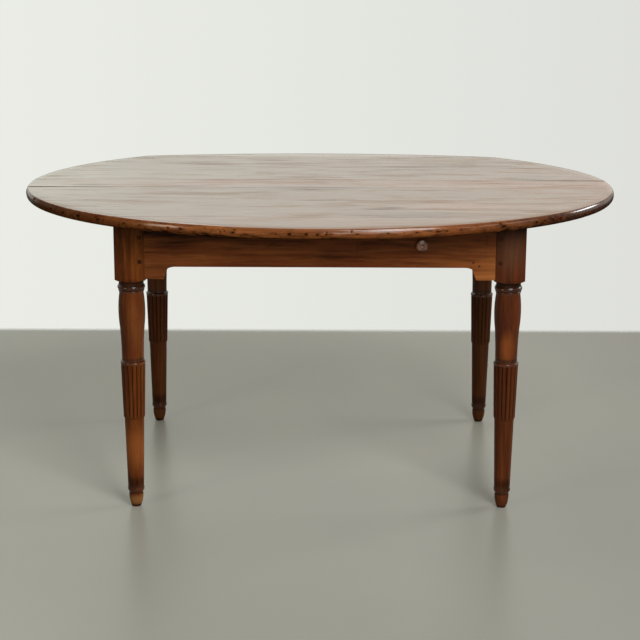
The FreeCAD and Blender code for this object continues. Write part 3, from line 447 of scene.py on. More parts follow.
# A painted highlight on the knob's top, its face worn pale in the middle, and painted shade along its bottom.
KNOB_LIGHT_AND_WEAR = (
    ((knob_x - 1, knob_y, knob_z + 12), (11, 60, 8), 0.9, "#f2d9ca"),
    ((knob_x, knob_y, knob_z), (5, 60, 5), 0.8, "#c0a89b"),
    ((knob_x, knob_y, knob_z - 13), (16, 60, 10), 0.8, "#2a1c16"),
)
# Polished plum is smooth and a little purple, with a painted highlight for a cap and painted shade
# underneath.
knob_wood = waxed_wood("turned_plum_knob", "Z", 60.7, KNOB_TONES, roughness=0.25, wax=(0.3, 0.8),
                       figure=1.0, marks=KNOB_LIGHT_AND_WEAR)
print("woods inside:", len(bare_woods), "bare,", dusty_wood.name, peg_wood.name, knob_wood.name)

# %% [markdown]
# The screws that hold buttons and battens are steel. Under a table they are never cleaned, so the metal is
# dull and specked with rust. Noise mixes the two colours, and the metal keeps the shader's usual IOR.

# %% Steel screws
RUST_SPECK = 1.5 * MM
# Worn steel gives a dark grey head with brown specks and a blurred shine.
worn_steel, tree = new_material("worn_steel")
speck = add(tree, "TexNoise", {"Scale": 1 / RUST_SPECK, "Detail": 3.0})
rust = add(tree, "Mix", {0: speck.outputs["Fac"], 6: linear("#5b5752"), 7: linear("#3d2c22")},
           data_type="RGBA")
steel = add(tree, "BsdfPrincipled", {"Base Color": rust.outputs[2], "Metallic": 0.8, "Roughness": 0.5})
add(tree, "OutputMaterial", {"Surface": steel.outputs["BSDF"]})
print("screws:", worn_steel.name)

# %% [markdown]
# Every piece that the frame already shapes well keeps its mesh and takes a finish. The list says which
# finish each one has, and with it along which axis its grain runs.

# %% Finishes on the frame's own pieces
finishes = {
    "apron_front": apron_woods["X"], "apron_back": apron_woods["X"],
    "apron_left": apron_woods["Y"], "apron_right": apron_woods["Y"],
    "drawer_front": apron_woods["X"], "drawer_knob": knob_wood,
    "drawer_side_left": bare_woods["Y"], "drawer_side_right": bare_woods["Y"],
    "drawer_back": bare_woods["X"], "drawer_bottom": bare_woods["X"],
    "drawer_runner_left": bare_woods["Y"], "drawer_runner_right": bare_woods["Y"],
    "drawer_kicker_left": bare_woods["Y"], "drawer_kicker_right": bare_woods["Y"],
    "drawer_stops": bare_woods["X"], "top_buttons": bare_woods["X"],
    "batten_left": bare_woods["Y"], "batten_right": bare_woods["Y"],
    "button_screws": worn_steel, "batten_screws": worn_steel,
}
for name in nodes:
    if name.startswith("tongue"):
        finishes[name] = dusty_wood
for name, finish in finishes.items():
    for holder in nodes[name].material_slots:
        holder.material = finish
print("finished as they are:", len(finishes))

# %% [markdown]
# The other pieces are modelled again. A helper turns a mesh into a piece of the table: it shades the mesh
# smooth except at real arrises, gives it its finishes, lets it ride on its body and hides the piece of the
# frame that it stands for.

# %% Pieces
def piece(name, mesh, finishes_used, stands_for, body="table", crease=35):
    """Makes a mesh a piece of the table. Edges that bend by more than the crease angle stay sharp."""
    for finish in finishes_used:
        mesh.materials.append(finish)
    mesh.shade_smooth()
    mesh.set_sharp_from_angle(angle=math.radians(crease))
    made = bpy.data.objects.new(name, mesh)
    scene.collection.objects.link(made)
    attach(made, body)
    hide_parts(stands_for)


print("piece: a mesh with a finish, a body and the piece that it stands for")

# %% [markdown]
# The top was one oval slab of five planks, sawn to shape after they were joined, so it is modelled in that
# order: one slab, then saw cuts. The slab is a stack of oval rings that follow the rim's profile, a quarter
# round below and a long worn slope above. The rim has six times as many points as the flat inside, because
# the dents that knocks and woodworm left along it are a few millimetres wide.

# %% Rim profile
BOARDS = ("board_front_outer", "board_front", "board_middle", "board_back", "board_back_outer")
top_low, top_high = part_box("board_middle")
half_length = top_high.x
half_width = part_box("board_back_outer")[1].y
underside, surface = top_low.z, top_high.z
LOWER_ROUND = 13 * MM
LOWER_STEPS, FLAT_STEPS = 6, 2
# Distance in from the rim and depth under the surface, in millimetres, from the rim's flat up to the top
WORN_EDGE = ((0.0, 13.0), (0.1, 11.0), (0.4, 9.0), (1.0, 7.0), (1.5, 5.5), (2.1, 4.2), (2.8, 3.0),
             (3.5, 2.0), (4.2, 1.2), (5.2, 0.5), (6.7, 0.0))

rim = []
for step in range(LOWER_STEPS + 1):
    angle = math.pi / 2 * step / LOWER_STEPS
    rim.append((LOWER_ROUND * (1 - math.sin(angle)), underside + LOWER_ROUND * (1 - math.cos(angle))))
edge_inset, edge_depth = WORN_EDGE[-1][0] * MM, WORN_EDGE[0][1] * MM
flat_low, flat_high = underside + LOWER_ROUND, surface - edge_depth
for step in range(1, FLAT_STEPS):
    rim.append((0.0, flat_low + (flat_high - flat_low) * step / FLAT_STEPS))
rim += [(inset * MM, surface - depth * MM) for inset, depth in WORN_EDGE]
oval_size = [round(2 * half / MM) for half in (half_length, half_width)]
print("rim:", len(rim), "points on an oval of", oval_size, "mm")

# %% [markdown]
# Dents are pushed into the rim before the saw cuts. Each has a place along the rim, a height, a length, a
# width and a depth. Most are woodworm and small knocks, scattered by a seeded random draw. Along the right
# front the upper edge has stayed whole and shines, so dents drawn there are moved to the lower round. The
# gouges along the front edge are placed one by one, because they are easy to tell apart in the photograph.

# %% Places of the dents
DENT_SEED, DENT_COUNT = 7, 90
DENT_ABOVE, DENT_BELOW = 6 * MM, 4 * MM
DENT_LENGTH, DENT_WIDTH, DENT_DEPTH = (1.3, 3.4), (1.0, 2.1), (0.8, 2.0)
# The clean edge lies between two turns, in radians round the oval from its right end
CLEAN_EDGE, CLEAN_EDGE_DENT = (5.45, 6.1), 9 * MM
FULL_TURN = 2 * math.pi
draw = np.random.default_rng(DENT_SEED)
dents = []
for _ in range(DENT_COUNT):
    turn = draw.uniform(0, FULL_TURN)
    height = draw.uniform(underside + DENT_ABOVE, surface - DENT_BELOW)
    if CLEAN_EDGE[0] < turn < CLEAN_EDGE[1]:
        height = underside + CLEAN_EDGE_DENT
    length, width, depth = (draw.uniform(*span) * MM for span in (DENT_LENGTH, DENT_WIDTH, DENT_DEPTH))
    dents.append((turn, height, length, width, depth))

GOUGE_HEIGHT, GOUGE_DEPTH = 15 * MM, 0.55
# Place along the table, half the length and half the width of each gouge, in millimetres
FRONT_GOUGES = (
    (-645, 4, 2.4), (-612, 5, 3), (-572, 6, 3.6), (-520, 7, 2.4), (-505, 5, 1.8), (-455, 5, 1.8),
    (-415, 4, 1.8), (-348, 4, 1.8), (-318, 4, 2.4), (-226, 3, 1.8), (-198, 5, 2.4), (-100, 3, 1.8),
    (-70, 5, 3), (-32, 5, 3), (-6, 6, 2.4), (14, 6, 1.6), (24, 4, 1.8), (83, 6, 1.4), (154, 5, 1.5),
    (190, 3, 1.4), (220, 5, 1.8), (270, 8, 2.4), (287, 6, 1.8), (322, 4, 1.4), (424, 9, 3),
    (505, 6, 2.4), (525, 7, 2.4), (545, 7, 2.4), (565, 6, 1.8),
)
for across, length, width in FRONT_GOUGES:
    turn = -math.acos(across * MM / half_length) % FULL_TURN
    dents.append((turn, underside + GOUGE_HEIGHT, length * MM, width * MM, GOUGE_DEPTH * width * MM))
print("dents:", DENT_COUNT, "scattered and", len(FRONT_GOUGES), "placed")

# %% [markdown]
# A dent is a bowl with a ragged edge: two sine waves of different length along the rim, a few millimetres
# each, pull its outline in and out. A bump in the finish would be quicker to make, but it leaves the edge of
# the rim straight, so the points themselves move. Dirt sits in the bowl and a little beyond, and round that
# lies a dull halo that no cloth polishes.

# %% Rings of the slab
RIM_POINTS, INNER_POINTS = 2160, 360
INNER_SPACING = 24 * MM
# Waves in radians to the metre, which makes them about 3 and 5 mm long
RAGGED, FINE_WAVE, COARSE_WAVE = 0.35, 2100, 1300
FINE_SHIFT, COARSE_SHIFT = 50, 9
DENT_DIRT, DIRT_HALO = 0.85, 1.35
DULL_HALO, DULL_FADE = 4.5, 2


def oval(inset, height, count):
    """Points of an oval ring that lies inside the rim by a distance."""
    turn = np.arange(count) * 2 * math.pi / count
    return np.stack([(half_length - inset) * np.cos(turn), (half_width - inset) * np.sin(turn),
                     np.full(count, height)], axis=1)


def dented(ring):
    """Pushes a rim ring in at the dents. Returns how dirty each point is, and how dull."""
    turn = np.arctan2(ring[:, 1] / half_width, ring[:, 0] / half_length) % FULL_TURN
    outward = np.stack([np.cos(turn) / half_length, np.sin(turn) / half_width], axis=1)
    outward /= np.linalg.norm(outward, axis=1)[:, None]
    pace = np.hypot(half_length * np.sin(turn), half_width * np.cos(turn))
    dirt, dull = np.zeros(len(ring)), np.zeros(len(ring))
    for place, height, length, width, depth in dents:
        along = ((turn - place + math.pi) % FULL_TURN - math.pi) * pace
        fine = np.sin(FINE_WAVE * along + FINE_SHIFT * place)
        coarse = np.sin(COARSE_WAVE * along + COARSE_SHIFT * place)
        reach = (along / length) ** 2 + ((ring[:, 2] - height) / width) ** 2 + RAGGED * fine * coarse
        ring[:, :2] -= outward * (depth * np.clip(1 - reach, 0, 1))[:, None]
        dirt = np.maximum(dirt, DENT_DIRT * np.clip(DIRT_HALO - reach, 0, 1))
        dull = np.maximum(dull, np.clip((DULL_HALO - reach) / DULL_FADE, 0, 1))
    return dirt, dull


clean = np.zeros((2, INNER_POINTS))
inner_insets = np.linspace(edge_inset, half_width, round(half_width / INNER_SPACING))[1:]
rings = [(oval(inset, underside, INNER_POINTS), *clean) for inset in reversed(inner_insets)]
for inset, height in rim:
    ring = oval(inset, height, RIM_POINTS)
    rings.append((ring, *dented(ring)))
rings += [(oval(inset, surface, INNER_POINTS), *clean) for inset in inner_insets]
print("slab:", len(rings), "rings,", len(dents), "dents")

# %% [markdown]
# The rings become one closed mesh. Where a fine ring meets a coarse one, a face has one coarse side and six
# fine ones. Each point of the rim also gets its polish: hands hold the right half most, there is one
# favourite grip near the left leg, and the far left tip is smooth on all its height.

# %% Slab mesh
LEAST_HANDLED, MOST_HANDLED = 0.12, 1.0
HANDLED_START, HANDLED_SPAN, HANDLED_BEND = -0.8, 0.9, 1.2
GRIP_PLACE, GRIP_WIDTH, GRIP_POLISH = -0.49, 0.1, 1.0
TIP_START, TIP_FADE, TIP_POLISH = -0.91, 0.05, 0.9
FLAT_POLISH = 0.25
POLISH_MEAN, POLISH_SWING, POLISH_WAVES = 0.95, 0.5, 16
WELD = 0.01 * MM


def handled(place):
    """How much hands have polished a place on the rim, from 0 to 1. The lower round gets nothing."""
    if place.z < flat_low:
        return 0.0
    sideways = place.x / half_length
    rightward = min(1.0, max(0.0, (sideways - HANDLED_START) / HANDLED_SPAN)) ** HANDLED_BEND
    polish = LEAST_HANDLED + (MOST_HANDLED - LEAST_HANDLED) * rightward
    polish = max(polish, GRIP_POLISH * math.exp(-((sideways - GRIP_PLACE) / GRIP_WIDTH) ** 2))
    if place.z < flat_high:
        polish *= FLAT_POLISH
    return max(polish, TIP_POLISH * min(1.0, max(0.0, (TIP_START - sideways) / TIP_FADE)))


slab = bmesh.new()
dirt_layer = slab.verts.layers.float.new("dirt")
rub_layer = slab.verts.layers.float.new("rub")
loops = []
for ring, dirt, dull in rings:
    loop = [slab.verts.new(point) for point in ring]
    for vertex, dirty, matt in zip(loop, dirt, dull):
        vertex[dirt_layer] = dirty
        if len(loop) == RIM_POINTS:
            uneven = POLISH_MEAN + POLISH_SWING * noise.noise(vertex.co * POLISH_WAVES)
            vertex[rub_layer] = handled(vertex.co) * (1 - matt) * uneven
    loops.append(loop)
for lower, upper in zip(loops, loops[1:]):
    count = min(len(lower), len(upper))
    for index in range(count):
        sides = []
        for loop in (lower, upper):
            steps = len(loop) // count
            sides.append([loop[(index * steps + k) % len(loop)] for k in range(steps + 1)])
        slab.faces.new(sides[0] + sides[1][::-1])
bmesh.ops.remove_doubles(slab, verts=loops[0] + loops[-1], dist=WELD)
print("slab mesh:", len(slab.faces), "faces")

# %% [markdown]
# Now the saw cuts. Each plank is the slab between two cuts, with its cut faces filled again. Five boxes could
# be cut out of the slab by boolean modifiers as well, but a plane through the mesh is quicker and leaves
# the rim's points where they are. A second cut beside each joint makes room for a worn arris.

# %% Saw
ARRIS_WIDTH = 2.5 * MM
SAW_TOLERANCE = 1e-6


def saw(mesh, y, keep):
    """Cuts the slab at y. Keeps what lies on that side, or both sides where keep is 0."""
    geometry = mesh.verts[:] + mesh.edges[:] + mesh.faces[:]
    bmesh.ops.bisect_plane(mesh, geom=geometry, plane_co=(0, y, 0), plane_no=(0, 1, 0), dist=SAW_TOLERANCE,
                           clear_inner=keep > 0, clear_outer=keep < 0)
    if keep:
        rim_edges = [edge for edge in mesh.edges if edge.is_boundary]
        bmesh.ops.holes_fill(mesh, edges=rim_edges, sides=0)


def sawn(low, high, first, last):
    """The part of the slab between two joints, or out to the rim on an outer plank."""
    plank = slab.copy()
    if not first:
        saw(plank, low.y, 1)
        saw(plank, low.y + ARRIS_WIDTH, 0)
    if not last:
        saw(plank, high.y, -1)
        saw(plank, high.y - ARRIS_WIDTH, 0)
    return plank


print("saw: a cut at each joint, and one", ARRIS_WIDTH / MM, "mm beside it")

# %% [markdown]
# Then age moves each plank a little. Its arrises along the joints are worn down, two joints have opened where
# the wood shrank at an end of the table, each plank cups by a fraction of a millimetre, and the far plank,
# which no batten carries, sags away from its joint. Bevel and bend modifiers could do some of this, but one
# loop that moves each point by where it lies can do all of it.

# %% Age of a plank
ARRIS_DROP, ARRIS_BAND, ARRIS_WAVES = 0.35 * MM, 0.2 * ARRIS_WIDTH, (6, 9)
TOP_BAND = 0.1 * MM
CUPS = (0.0, 0.5, 0.3, 0.6, 0.3)
SAG_SLOPE = 0.112
OPEN_JOINTS = {("board_front", "board_middle"): (-1, 280 * MM, 5.0 * MM),
               ("board_middle", "board_back"): (1, 250 * MM, 3.6 * MM)}
CRACK_EASE = 30 * MM
JOINT_DIRT, BLACK_CRACK = 0.25, 1.5 * MM


def opening_at(pair, x):
    """Width of a joint's crack at a place along it."""
    if pair not in OPEN_JOINTS:
        return 0.0
    side, length, width = OPEN_JOINTS[pair]
    share = (x * side - (half_length - length)) / length
    return width * max(0.0, share)


def age(plank, number, low, high):
    """Wears the arrises, opens the joints, cups the plank and lets the far one sag."""
    joints = []
    if number > 0:
        joints.append((low.y, 1, BOARDS[number - 1:number + 1]))
    if number < len(BOARDS) - 1:
        joints.append((high.y, -1, BOARDS[number:number + 2]))
    middle, half = (low.y + high.y) / 2, (high.y - low.y) / 2
    grime = plank.verts.layers.float["dirt"]
    for vertex in plank.verts:
        x, y, z = vertex.co
        for edge_y, inward, pair in joints:
            reach, opening = abs(y - edge_y), opening_at(pair, x)
            if reach < ARRIS_BAND:
                vertex[grime] = max(vertex[grime], JOINT_DIRT, min(1.0, opening / BLACK_CRACK))
                if z > surface - TOP_BAND:
                    wear = noise.noise((x * ARRIS_WAVES[0], edge_y * ARRIS_WAVES[1], number))
                    vertex.co.z -= ARRIS_DROP * (0.5 + 0.5 * wear)
            vertex.co.y += inward * max(0.0, 1 - reach / CRACK_EASE) * opening / 2
        vertex.co.z += CUPS[number] * MM * (((y - middle) / half) ** 2 - 1)
        if BOARDS[number] == "board_back_outer":
            vertex.co.z -= SAG_SLOPE * (y - low.y)


print("age:", len(OPEN_JOINTS), "open joints, and a sag of", SAG_SLOPE)

# %% [markdown]
# Each plank is sawn, aged and given two finishes: the top's own where a face lies flat, and the rim's where
# it leans. The lean is read from the face's normal, so the line between them follows the worn edge.

# %% Planks
RIM_LEAN = 0.93
for number, name in enumerate(BOARDS):
    low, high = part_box(name)
    plank = sawn(low, high, number == 0, number == len(BOARDS) - 1)
    age(plank, number, low, high)
    plank.normal_update()
    for face in plank.faces:
        face.material_index = int(abs(face.normal.z) < RIM_LEAN)
    mesh = bpy.data.meshes.new(name.replace("board", "plank"))
    plank.to_mesh(mesh)
    plank.free()
    piece(name.replace("board", "plank"), mesh, (top_woods[name], rim_wood), name)
    print(mesh.name, len(mesh.polygons), "faces")
slab.free()

# %% [markdown]
# A leg is square where the aprons enter it and turned below. A lathe makes one outline all the way round, so
# the shaft is a radius for each height, drawn as lines and arcs from the foot up: foot, ankle ring, shin,
# drum, vase, bead, ring and the shoulder, a curve that the lathe leaves where it runs into the square block.
# A screw modifier could spin that outline, but a grid of heights and angles can hold the reeds and the block
# as well, so each leg becomes one closed mesh.

# %% Turned outline
ARC_STEPS, LINE_STEP = 8, 9
SHIN_TOP = 23.75
SHOULDER, SHOULDER_RISE, SHOULDER_REACH = 571, 12, 53.2
DRUM_TOP, REED_TOP, DRUM_FOOT = 372, 366, 229
# Height and radius in millimetres: two numbers end a line, four pass an arc's middle to its end
OUTLINE = (
    (0, 11), (16.5, 16.2, 33, 17.5), (36, 16.7, 39, 17.5), (45, 20.3, 51, 19.35), (DRUM_FOOT, SHIN_TOP),
    (230.5, 25.5, 235, 26), (REED_TOP, 29.5), (369, 30.2, DRUM_TOP, 29.5), (374, 26.5),
    (415, 27.1, 456, 29.35), (500, 32, 541, 29), (547, 29.75), (548.5, 31.25, 550, 29.75),
    (556.5, 33, 563, 29.5), (SHOULDER, 29.5), (576, 41.4, SHOULDER + SHOULDER_RISE, SHOULDER_REACH),
)


def traced(corners):
    """Heights and radii along an outline, with points enough for its arcs and its long lines."""
    places = [np.array(corners[0], float)]
    for corner in corners[1:]:
        start, end = places[-1], np.array(corner[-2:], float)
        if len(corner) == 2:
            steps = max(1, int(abs(end[0] - start[0]) / LINE_STEP))
            places += [start + (end - start) * (k / steps) for k in range(1, steps + 1)]
            continue
        via = np.array(corner[:2], float)
        for k in range(1, ARC_STEPS + 1):
            t = k / ARC_STEPS
            places.append((2 * t - 1) * (t - 1) * start + 4 * t * (1 - t) * via + t * (2 * t - 1) * end)
    return np.array(places)


outline = traced(OUTLINE)
print("outline:", len(outline), "points")

# %% [markdown]
# The drum's reeds are carved after turning: sixteen round backs with dirt between them, which end at the foot
# in round tongues. Reeds could be a bump in the finish, but their ends show against the shin, so they are
# real shape. Extra rows of points go where a reed begins and ends.

# %% Shaft and reeds
REEDS, REED_DEPTH, REED_FADE, POINTS_PER_REED = 16, 2.8, 2.5, 12
TONGUE_RISE, TONGUE_ROUND, CORE_TAPER = 5.0, 3.0, 0.02
TONGUE_ROWS = np.arange(DRUM_FOOT - 3, DRUM_FOOT + 12, 1.2)
REED_END_ROWS = np.arange(REED_TOP - 6, REED_TOP, 1.5)
DRUM_MARGIN = 2
MOST_REED_DIRT, REED_DIRT, REED_DIRT_BEND = 0.9, 1.2, 1.5
# Height, reach and amount of the dirt under the shoulder and over the foot
NECK_DIRT = ((568, 5, 0.95), (36, 2.5, 0.6))
LEG_POINTS = REEDS * POINTS_PER_REED
angles = np.arange(LEG_POINTS) * 2 * math.pi / LEG_POINTS
phase = (angles * REEDS / (2 * math.pi)) % 1
crest = np.sqrt(np.maximum(1 - (2 * phase - 1) ** 2, 0))


def shaft_row(height):
    """Heights, radii and dirt round a leg's shaft at one height, in millimetres."""
    radius = np.full(LEG_POINTS, np.interp(height, outline[:, 0], outline[:, 1]))
    dirt = np.zeros(LEG_POINTS)
    if DRUM_FOOT - DRUM_MARGIN <= height <= REED_TOP:
        core = SHIN_TOP + (height - DRUM_FOOT) * CORE_TAPER
        carved = radius - REED_DEPTH * (1 - crest) * min(1.0, (REED_TOP - height) / REED_FADE)
        foot = DRUM_FOOT + TONGUE_RISE * (1 - crest)
        rise = np.clip((height - foot) / TONGUE_ROUND, 0, 1)
        radius = core + (carved - core) * np.sqrt(1 - (1 - rise) ** 2)
        dirt = np.minimum(MOST_REED_DIRT, REED_DIRT * (1 - crest) ** REED_DIRT_BEND) * rise
    for place, reach, amount in NECK_DIRT:
        dirt = np.maximum(dirt, amount * np.exp(-((height - place) / reach) ** 2))
    return np.full(LEG_POINTS, height), radius, dirt


heights = np.concatenate([outline[:, 0], TONGUE_ROWS, REED_END_ROWS])
heights = np.unique(np.round(heights[heights <= SHOULDER], 2))
rows = [shaft_row(height) for height in heights]
print("shaft:", len(rows), "rows of", LEG_POINTS, "points")

# %% [markdown]
# Above the shaft the rows follow the shoulder's curve out to the block. A square is farther from the middle
# at its corners, so the curve meets the block higher there, which draws the arched edge under each face. The
# block's arrises are rounded by wear.

# %% Shoulder and block
BLOCK_ROUND = 2.5 * MM
SHOULDER_ROWS, BLOCK_ROWS = 6, 10
SHOULDER_DIRT, SHOULDER_FADE = 0.9, 6
BLOCK_START = SHOULDER + SHOULDER_RISE + 1
block_low, block_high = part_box("leg_front_left")
block_half = (block_high.x - block_low.x) / 2


def block_radius(angle):
    """Distance from a leg's middle to the face of its block, which has rounded arrises."""
    c, s = np.abs(np.cos(angle)), np.abs(np.sin(angle))
    flat = block_half / np.maximum(c, s)
    core = block_half - BLOCK_ROUND
    reach = core * (c + s)
    corner = reach + np.sqrt(np.maximum(reach ** 2 - 2 * core ** 2 + BLOCK_ROUND ** 2, 0))
    return np.where(flat * np.minimum(c, s) > core, corner, flat) / MM


square = block_radius(angles)
flared = outline[outline[:, 0] >= SHOULDER]
meeting = np.interp(square, flared[:, 1], flared[:, 0])
for step in range(1, SHOULDER_ROWS + 1):
    height = SHOULDER + (meeting - SHOULDER) * step / SHOULDER_ROWS
    dirt = SHOULDER_DIRT * np.clip(1 - (height - SHOULDER) / SHOULDER_FADE, 0, 1)
    rows.append((height, np.interp(height, flared[:, 0], flared[:, 1]), dirt))
for height in np.linspace(BLOCK_START, block_high.z / MM, BLOCK_ROWS):
    rows.append((np.full(LEG_POINTS, height), square, np.zeros(LEG_POINTS)))
row_heights, row_radii, row_dirt = (np.array(layer) for layer in zip(*rows))
print("leg:", len(rows), "rows of", LEG_POINTS, "points")

# %% [markdown]
# All four legs have the same rows, so one function makes the mesh round each leg's own middle line. It also
# stores the dirt and the polish at each point: the rings and swells that stand out are rubbed brightest.

# %% Leg meshes
# From one height to another in millimetres, and how much it is rubbed
RUBBED = ((36, 51, 0.35), (366, 374, 0.6), (380, 541, 0.14), (547, 563, 0.65))
row_rub = np.zeros_like(row_heights)
for start, end, amount in RUBBED:
    row_rub[(row_heights >= start) & (row_heights <= end)] = amount


def leg_mesh(name, x, y):
    """One leg round a vertical line at x and y, closed at both ends."""
    points = np.stack([x + row_radii * MM * np.cos(angles), y + row_radii * MM * np.sin(angles),
                       row_heights * MM], axis=2)
    count, last = LEG_POINTS, (len(rows) - 1) * LEG_POINTS
    faces = [[row * count + k, row * count + (k + 1) % count, (row + 1) * count + (k + 1) % count,
              (row + 1) * count + k] for row in range(len(rows) - 1) for k in range(count)]
    faces += [list(range(count))[::-1], list(range(last, last + count))]
    mesh = bpy.data.meshes.new(name)
    mesh.from_pydata(points.reshape(-1, 3).tolist(), [], faces)
    for label, values in (("dirt", row_dirt), ("rub", row_rub)):
        layer = mesh.attributes.new(label, "FLOAT", "POINT")
        layer.data.foreach_set("value", values.ravel().astype(np.float32))
    return mesh


for name in sorted(nodes):
    if name.startswith("leg_"):
        low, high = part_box(name)
        mesh = leg_mesh("turned_" + name, (low.x + high.x) / 2, (low.y + high.y) / 2)
        piece("turned_" + name, mesh, (leg_woods[name.removeprefix("leg_")],), name)
print("legs:", len(rows) * LEG_POINTS, "points each")

# %% [markdown]
# The pegs that lock the tenons were split from a billet, not turned, so they are squarish with knocked-off
# corners, and the shrinking block has left them standing a little proud of its face. A cylinder would look
# machine-made, so each is three uneven rings of eight points: one inside the block, one just above its face
# and a smaller one for the worn end.

# %% Outline of a peg
PEG_SIDES = 8
PEG_REACH, PEG_CUT = 5.6 * MM, 0.26
PEG_SPIN, PEG_UNEVEN = 0.2, 0.05
PEG_RINGS = ((-4 * MM, 1.0), (0.3 * MM, 1.0), (0.7 * MM, 0.82))


def peg_outline(seed):
    """Points of a square with cut corners, each a radius and a turn, a little uneven by the seed."""
    spin = PEG_SPIN * math.sin(seed * 5.1)
    turns = [quarter * math.pi / 2 + math.pi / 4 + side * PEG_CUT for quarter in range(4) for side in (-1, 1)]
    return [(PEG_REACH * (1 + PEG_UNEVEN * math.sin(seed * 3 + k)), spin + turn)
            for k, turn in enumerate(turns)]


def add_peg(shell, seed, place, across, outward):
    """One peg at a place on a block's face. It stands out one way, and its outline lies across and up."""
    rings = []
    for depth, scale in PEG_RINGS:
        ring = []
        for radius, turn in peg_outline(seed):
            side, rise = radius * scale * math.cos(turn), radius * scale * math.sin(turn)
            ring.append(shell.verts.new(place + across * side + outward * depth + Vector((0, 0, rise))))
        rings.append(ring)
    for below, above in zip(rings, rings[1:]):
        for k in range(PEG_SIDES):
            after = (k + 1) % PEG_SIDES
            shell.faces.new((below[k], below[after], above[after], above[k]))
    shell.faces.new(rings[0][::-1])
    shell.faces.new(rings[-1])


print("peg:", len(PEG_RINGS), "rings, proud by", PEG_RINGS[-1][0] / MM, "mm")

# %% [markdown]
# Two pegs cross each tenon, so a block shows two on each of its outer faces, near the arris where the apron
# comes in. The four of one block are one piece, as in the frame.

# %% Pegs
PEG_HEIGHTS = (683 * MM, 624 * MM)
PEG_INSET = 11 * MM
SEED_PER_METRE = 40
for number, corner in enumerate(("front_left", "front_right", "back_right", "back_left")):
    block_low, block_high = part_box("leg_" + corner)
    middle = (block_low + block_high) / 2
    out_x = -1 if "left" in corner else 1
    out_y = -1 if "front" in corner else 1
    aside = block_half - PEG_INSET
    shell = bmesh.new()
    for height in PEG_HEIGHTS:
        seed = number + height * SEED_PER_METRE
        front = Vector((middle.x - out_x * aside, middle.y + out_y * block_half, height))
        add_peg(shell, seed, front, Vector((1, 0, 0)), Vector((0, out_y, 0)))
        flank = Vector((middle.x + out_x * block_half, middle.y - out_y * aside, height))
        add_peg(shell, seed, flank, Vector((0, 1, 0)), Vector((out_x, 0, 0)))
    bmesh.ops.recalc_face_normals(shell, faces=shell.faces[:])
    mesh = bpy.data.meshes.new("riven_pegs_" + corner)
    shell.to_mesh(mesh)
    shell.free()
    piece(mesh.name, mesh, (peg_wood,), "pegs_" + corner, crease=20)
print("pegs: four in each block")

# %% [markdown]
# The stage is a plain pale floor under the feet, which catches their shadows. One large flat square is enough
# for that, and its finish takes care of its edge.

# %% Floor
FLOOR_HALF = 5.0
floor_mesh = bpy.data.meshes.new("floor")
floor_corners = [(x * FLOOR_HALF, y * FLOOR_HALF, 0) for x, y in ((-1, -1), (1, -1), (1, 1), (-1, 1))]
floor_mesh.from_pydata(floor_corners, [], [(0, 1, 2, 3)])
floor = bpy.data.objects.new("floor", floor_mesh)
scene.collection.objects.link(floor)
print("floor:", 2 * FLOOR_HALF, "m wide")

# %% [markdown]
# The floor is concrete, poured and smoothed. An edge would draw the eye away from the table, so the concrete
# turns transparent with distance, and more sharply some way behind the table, where the background begins. It
# is paler toward the back, as painted light, and darker to the right, as painted shade away from the light.

# %% Concrete
NEAR_COLOUR, FAR_COLOUR, DUST_COLOUR, SHADE_COLOUR = "#a3a49c", "#b9b7a9", "#9b9d96", "#5f6058"
DUST_AMOUNT, SHADE_AMOUNT = 0.3, 0.75
# Size of a cloud, and where each change begins and ends, in metres
CLOUD_SIZE = 0.5
PALER, DARKER, FADE_ROUND, FADE_BEHIND = (-1.9, 1.2), (0.2, 1.5), (2.1, 3.7), (1.235, 1.285)
# Smooth concrete gives a pale cloudy grey, with a faint blurred reflection of the legs.
concrete, tree = new_material("smooth_concrete")
spot = add(tree, "TexCoord").outputs["Object"]
spot_axes = add(tree, "SeparateXYZ", {"Vector": spot}).outputs
cloud = add(tree, "TexNoise", {"Vector": spot, "Scale": 1 / CLOUD_SIZE, "Detail": 4.0}).outputs["Fac"]
# Painted light makes the concrete paler toward the back; painted shade makes it darker to the right.
backward = add(tree, "MapRange", {"Value": spot_axes["Y"], "From Min": PALER[0], "From Max": PALER[1]})
dusty = add(tree, "MapRange", {"Value": cloud, "From Min": 0.3, "From Max": 0.7, "To Max": DUST_AMOUNT})
shaded = add(tree, "MapRange", {"Value": spot_axes["X"], "From Min": DARKER[0], "From Max": DARKER[1],
                                "To Max": SHADE_AMOUNT})
grey = linear(NEAR_COLOUR)
for cover, tint in ((backward, FAR_COLOUR), (dusty, DUST_COLOUR), (shaded, SHADE_COLOUR)):
    share = cover.outputs["Result"]
    grey = add(tree, "Mix", {0: share, 6: grey, 7: linear(tint)}, data_type="RGBA").outputs[2]
ground = add(tree, "BsdfPrincipled", {"Base Color": grey, "Roughness": 0.3, "Specular IOR Level": 0.25})
distance = add(tree, "VectorMath", {0: spot}, operation="LENGTH").outputs["Value"]
around = add(tree, "MapRange", {"Value": distance, "From Min": FADE_ROUND[0], "From Max": FADE_ROUND[1]},
             interpolation_type="SMOOTHSTEP")
behind = add(tree, "MapRange", {"Value": spot_axes["Y"], "From Min": FADE_BEHIND[0],
                                "From Max": FADE_BEHIND[1]}, interpolation_type="SMOOTHSTEP")
fade = add(tree, "Math", {0: around.outputs["Result"], 1: behind.outputs["Result"]}, operation="MAXIMUM")
clear = add(tree, "BsdfTransparent")
mixed = add(tree, "MixShader", {0: fade.outputs["Value"], 1: ground.outputs["BSDF"],
                                2: clear.outputs["BSDF"]})
add(tree, "OutputMaterial", {"Surface": mixed.outputs["Shader"]})
floor_mesh.materials.append(concrete)
print("concrete: fades out", FADE_ROUND[1], "m from the table's middle")

